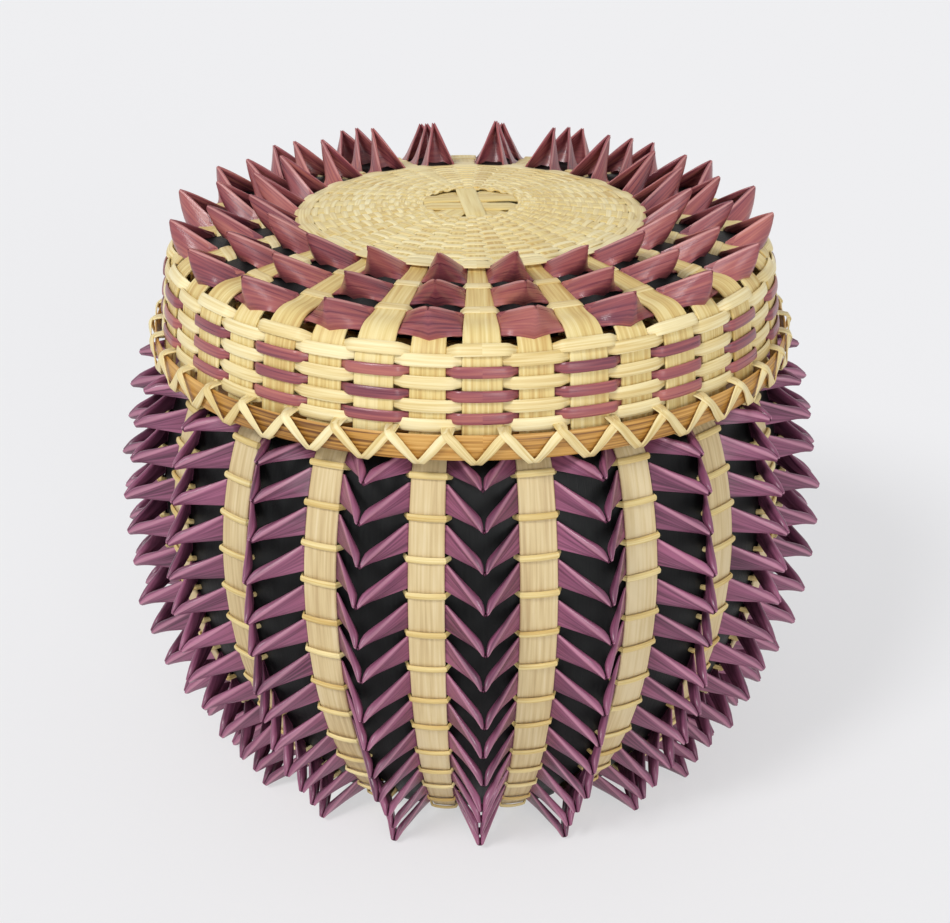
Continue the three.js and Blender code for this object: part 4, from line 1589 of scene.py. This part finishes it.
@dataclass(frozen=True)
class Studio:
    """The pale floor, the soft light and the camera at the photograph's angle."""

    elevation: float = 24.8
    distance: float = 534.0
    target_height: float = 82.7
    front_turn: float = -1.9  # degrees that the camera stands round from the front column
    yaw: float = 0.148  # degrees that it looks past the axis, to the right
    pixels: float = 1822.0  # focal length in pixels of the 950 wide picture
    picture_width: float = 950.0
    sensor: float = 36.0
    near: float = 0.01
    far: float = 50.0
    floor_radius: float = 9.0
    floor_sides: int = 96
    floor_colour: str = "f3f3f5"
    floor_roughness: float = 0.9
    floor_shine: float = 0.1
    backdrop_colour: str = "f3f3f4"
    paper_white: float = 0.6  # how much of the floor's look is even white
    sky: float = 0.5
    sky_colour: str = "fbfbff"

    # Name, strength, spread in degrees, and the direction that the light comes from.
    SUNS = (("key", 1.6, 16.0, (-0.7, -0.75, 1.0)), ("fill", 0.9, 24.0, (0.35, -1.0, 0.25)))

    def build(self) -> None:
        """Builds the stage."""
        self.floor()
        self.world()
        for name, strength, spread, come_from in self.SUNS:
            self._sun(name, strength, spread, come_from)
        self.camera()

    def floor(self) -> None:
        """Builds the round floor, which has an even white mixed in where it is looked at."""
        mesh = bpy.data.meshes.new("floor")
        work = bmesh.new()
        sides = self.floor_sides
        bmesh.ops.create_circle(work, cap_ends=True, segments=sides, radius=self.floor_radius)
        work.to_mesh(mesh)
        work.free()
        floor = bpy.data.objects.new("floor", mesh)
        bpy.context.scene.collection.objects.link(floor)
        material = bpy.data.materials.new("floor_paper")
        material.use_nodes = True
        tree = material.node_tree
        paper = tree.nodes["Principled BSDF"]
        look = {"Base Color": linear(self.floor_colour), "Roughness": self.floor_roughness}
        feed(tree, paper, {**look, "Specular IOR Level": self.floor_shine})
        white = add_node(tree, "Emission", {"Color": linear(self.backdrop_colour)})
        looked = {0: self._looked_at(tree), 1: self.paper_white}
        share = add_node(tree, "Math", looked, operation="MULTIPLY").outputs[0]
        layers = {"Fac": share, 1: paper.outputs["BSDF"], 2: white.outputs["Emission"]}
        mix = add_node(tree, "MixShader", layers)
        feed(tree, tree.nodes["Material Output"], {"Surface": mix.outputs["Shader"]})
        mesh.materials.append(material)
        floor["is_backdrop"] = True

    @staticmethod
    def _looked_at(tree: Tree) -> Socket:
        """Finds the rays that come from the camera, off a gloss or through glass.

        Args:
            tree: The nodes to add to.

        Returns:
            1 for such a ray, 0 for any other.
        """
        path = add_node(tree, "LightPath", {})
        looked = path.outputs["Is Camera Ray"]
        for ray in ("Is Glossy Ray", "Is Transmission Ray"):
            looked = add_node(tree, "Math", {0: looked, 1: path.outputs[ray]}, operation="MAXIMUM").outputs[0]
        return looked

    def world(self) -> None:
        """Sets the even light of the surroundings, and the backdrop that is seen instead of it."""
        world = bpy.data.worlds.new("studio")
        bpy.context.scene.world = world
        world.use_nodes = True
        tree = world.node_tree
        light = tree.nodes["Background"]
        feed(tree, light, {"Color": linear(self.sky_colour), "Strength": self.sky})
        seen = add_node(tree, "Background", {"Color": linear(self.backdrop_colour)})
        layers = {"Fac": self._looked_at(tree), 1: light.outputs["Background"], 2: seen.outputs["Background"]}
        mix = add_node(tree, "MixShader", layers)
        feed(tree, tree.nodes["World Output"], {"Surface": mix.outputs["Shader"]})

    @staticmethod
    def _sun(name: str, strength: float, spread: float, come_from: tuple[float, float, float]) -> None:
        """Adds a distant lamp.

        Args:
            name: Its name.
            strength: Its strength.
            spread: How wide it looks, in degrees.
            come_from: Direction that its light comes from.
        """
        lamp = bpy.data.lights.new(name, "SUN")
        lamp.energy = strength
        lamp.angle = math.radians(spread)
        holder = bpy.data.objects.new(name, lamp)
        holder.rotation_mode = "QUATERNION"
        holder.rotation_quaternion = Vector(come_from).to_track_quat("Z", "Y")
        bpy.context.scene.collection.objects.link(holder)

    def camera(self) -> None:
        """Sets the camera at the photograph's viewing angle."""
        data = bpy.data.cameras.new("photo_camera")
        data.sensor_width = self.sensor
        data.lens = self.pixels / self.picture_width * self.sensor
        data.clip_start = self.near
        data.clip_end = self.far
        camera = bpy.data.objects.new("photo_camera", data)
        turn = math.radians(self.front_turn)
        lean = math.radians(self.elevation)
        back = Vector((math.sin(turn) * math.cos(lean), -math.cos(turn) * math.cos(lean), math.sin(lean)))
        camera.location = Vector((0, 0, self.target_height * MM)) + back * self.distance * MM
        camera.rotation_mode = "QUATERNION"
        aim = Matrix.Rotation(-math.radians(self.yaw), 3, "Z") @ back
        camera.rotation_quaternion = aim.to_track_quat("Z", "Y")
        bpy.context.scene.collection.objects.link(camera)
        bpy.context.scene.camera = camera
        bpy.context.scene.view_settings.view_transform = "Standard"


def corners() -> list[list[float]]:
    """The shown object's lowest and highest corner, as plain lists."""
    return [list(corner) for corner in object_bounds()]


def main() -> None:
    """Builds the basket, its lid and the stage round the frame."""
    logging.basicConfig(level=logging.INFO, format="%(name)s: %(message)s")
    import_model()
    Wall().build()
    Lid().build()
    Studio().build()


if __name__ == "__main__":
    main()
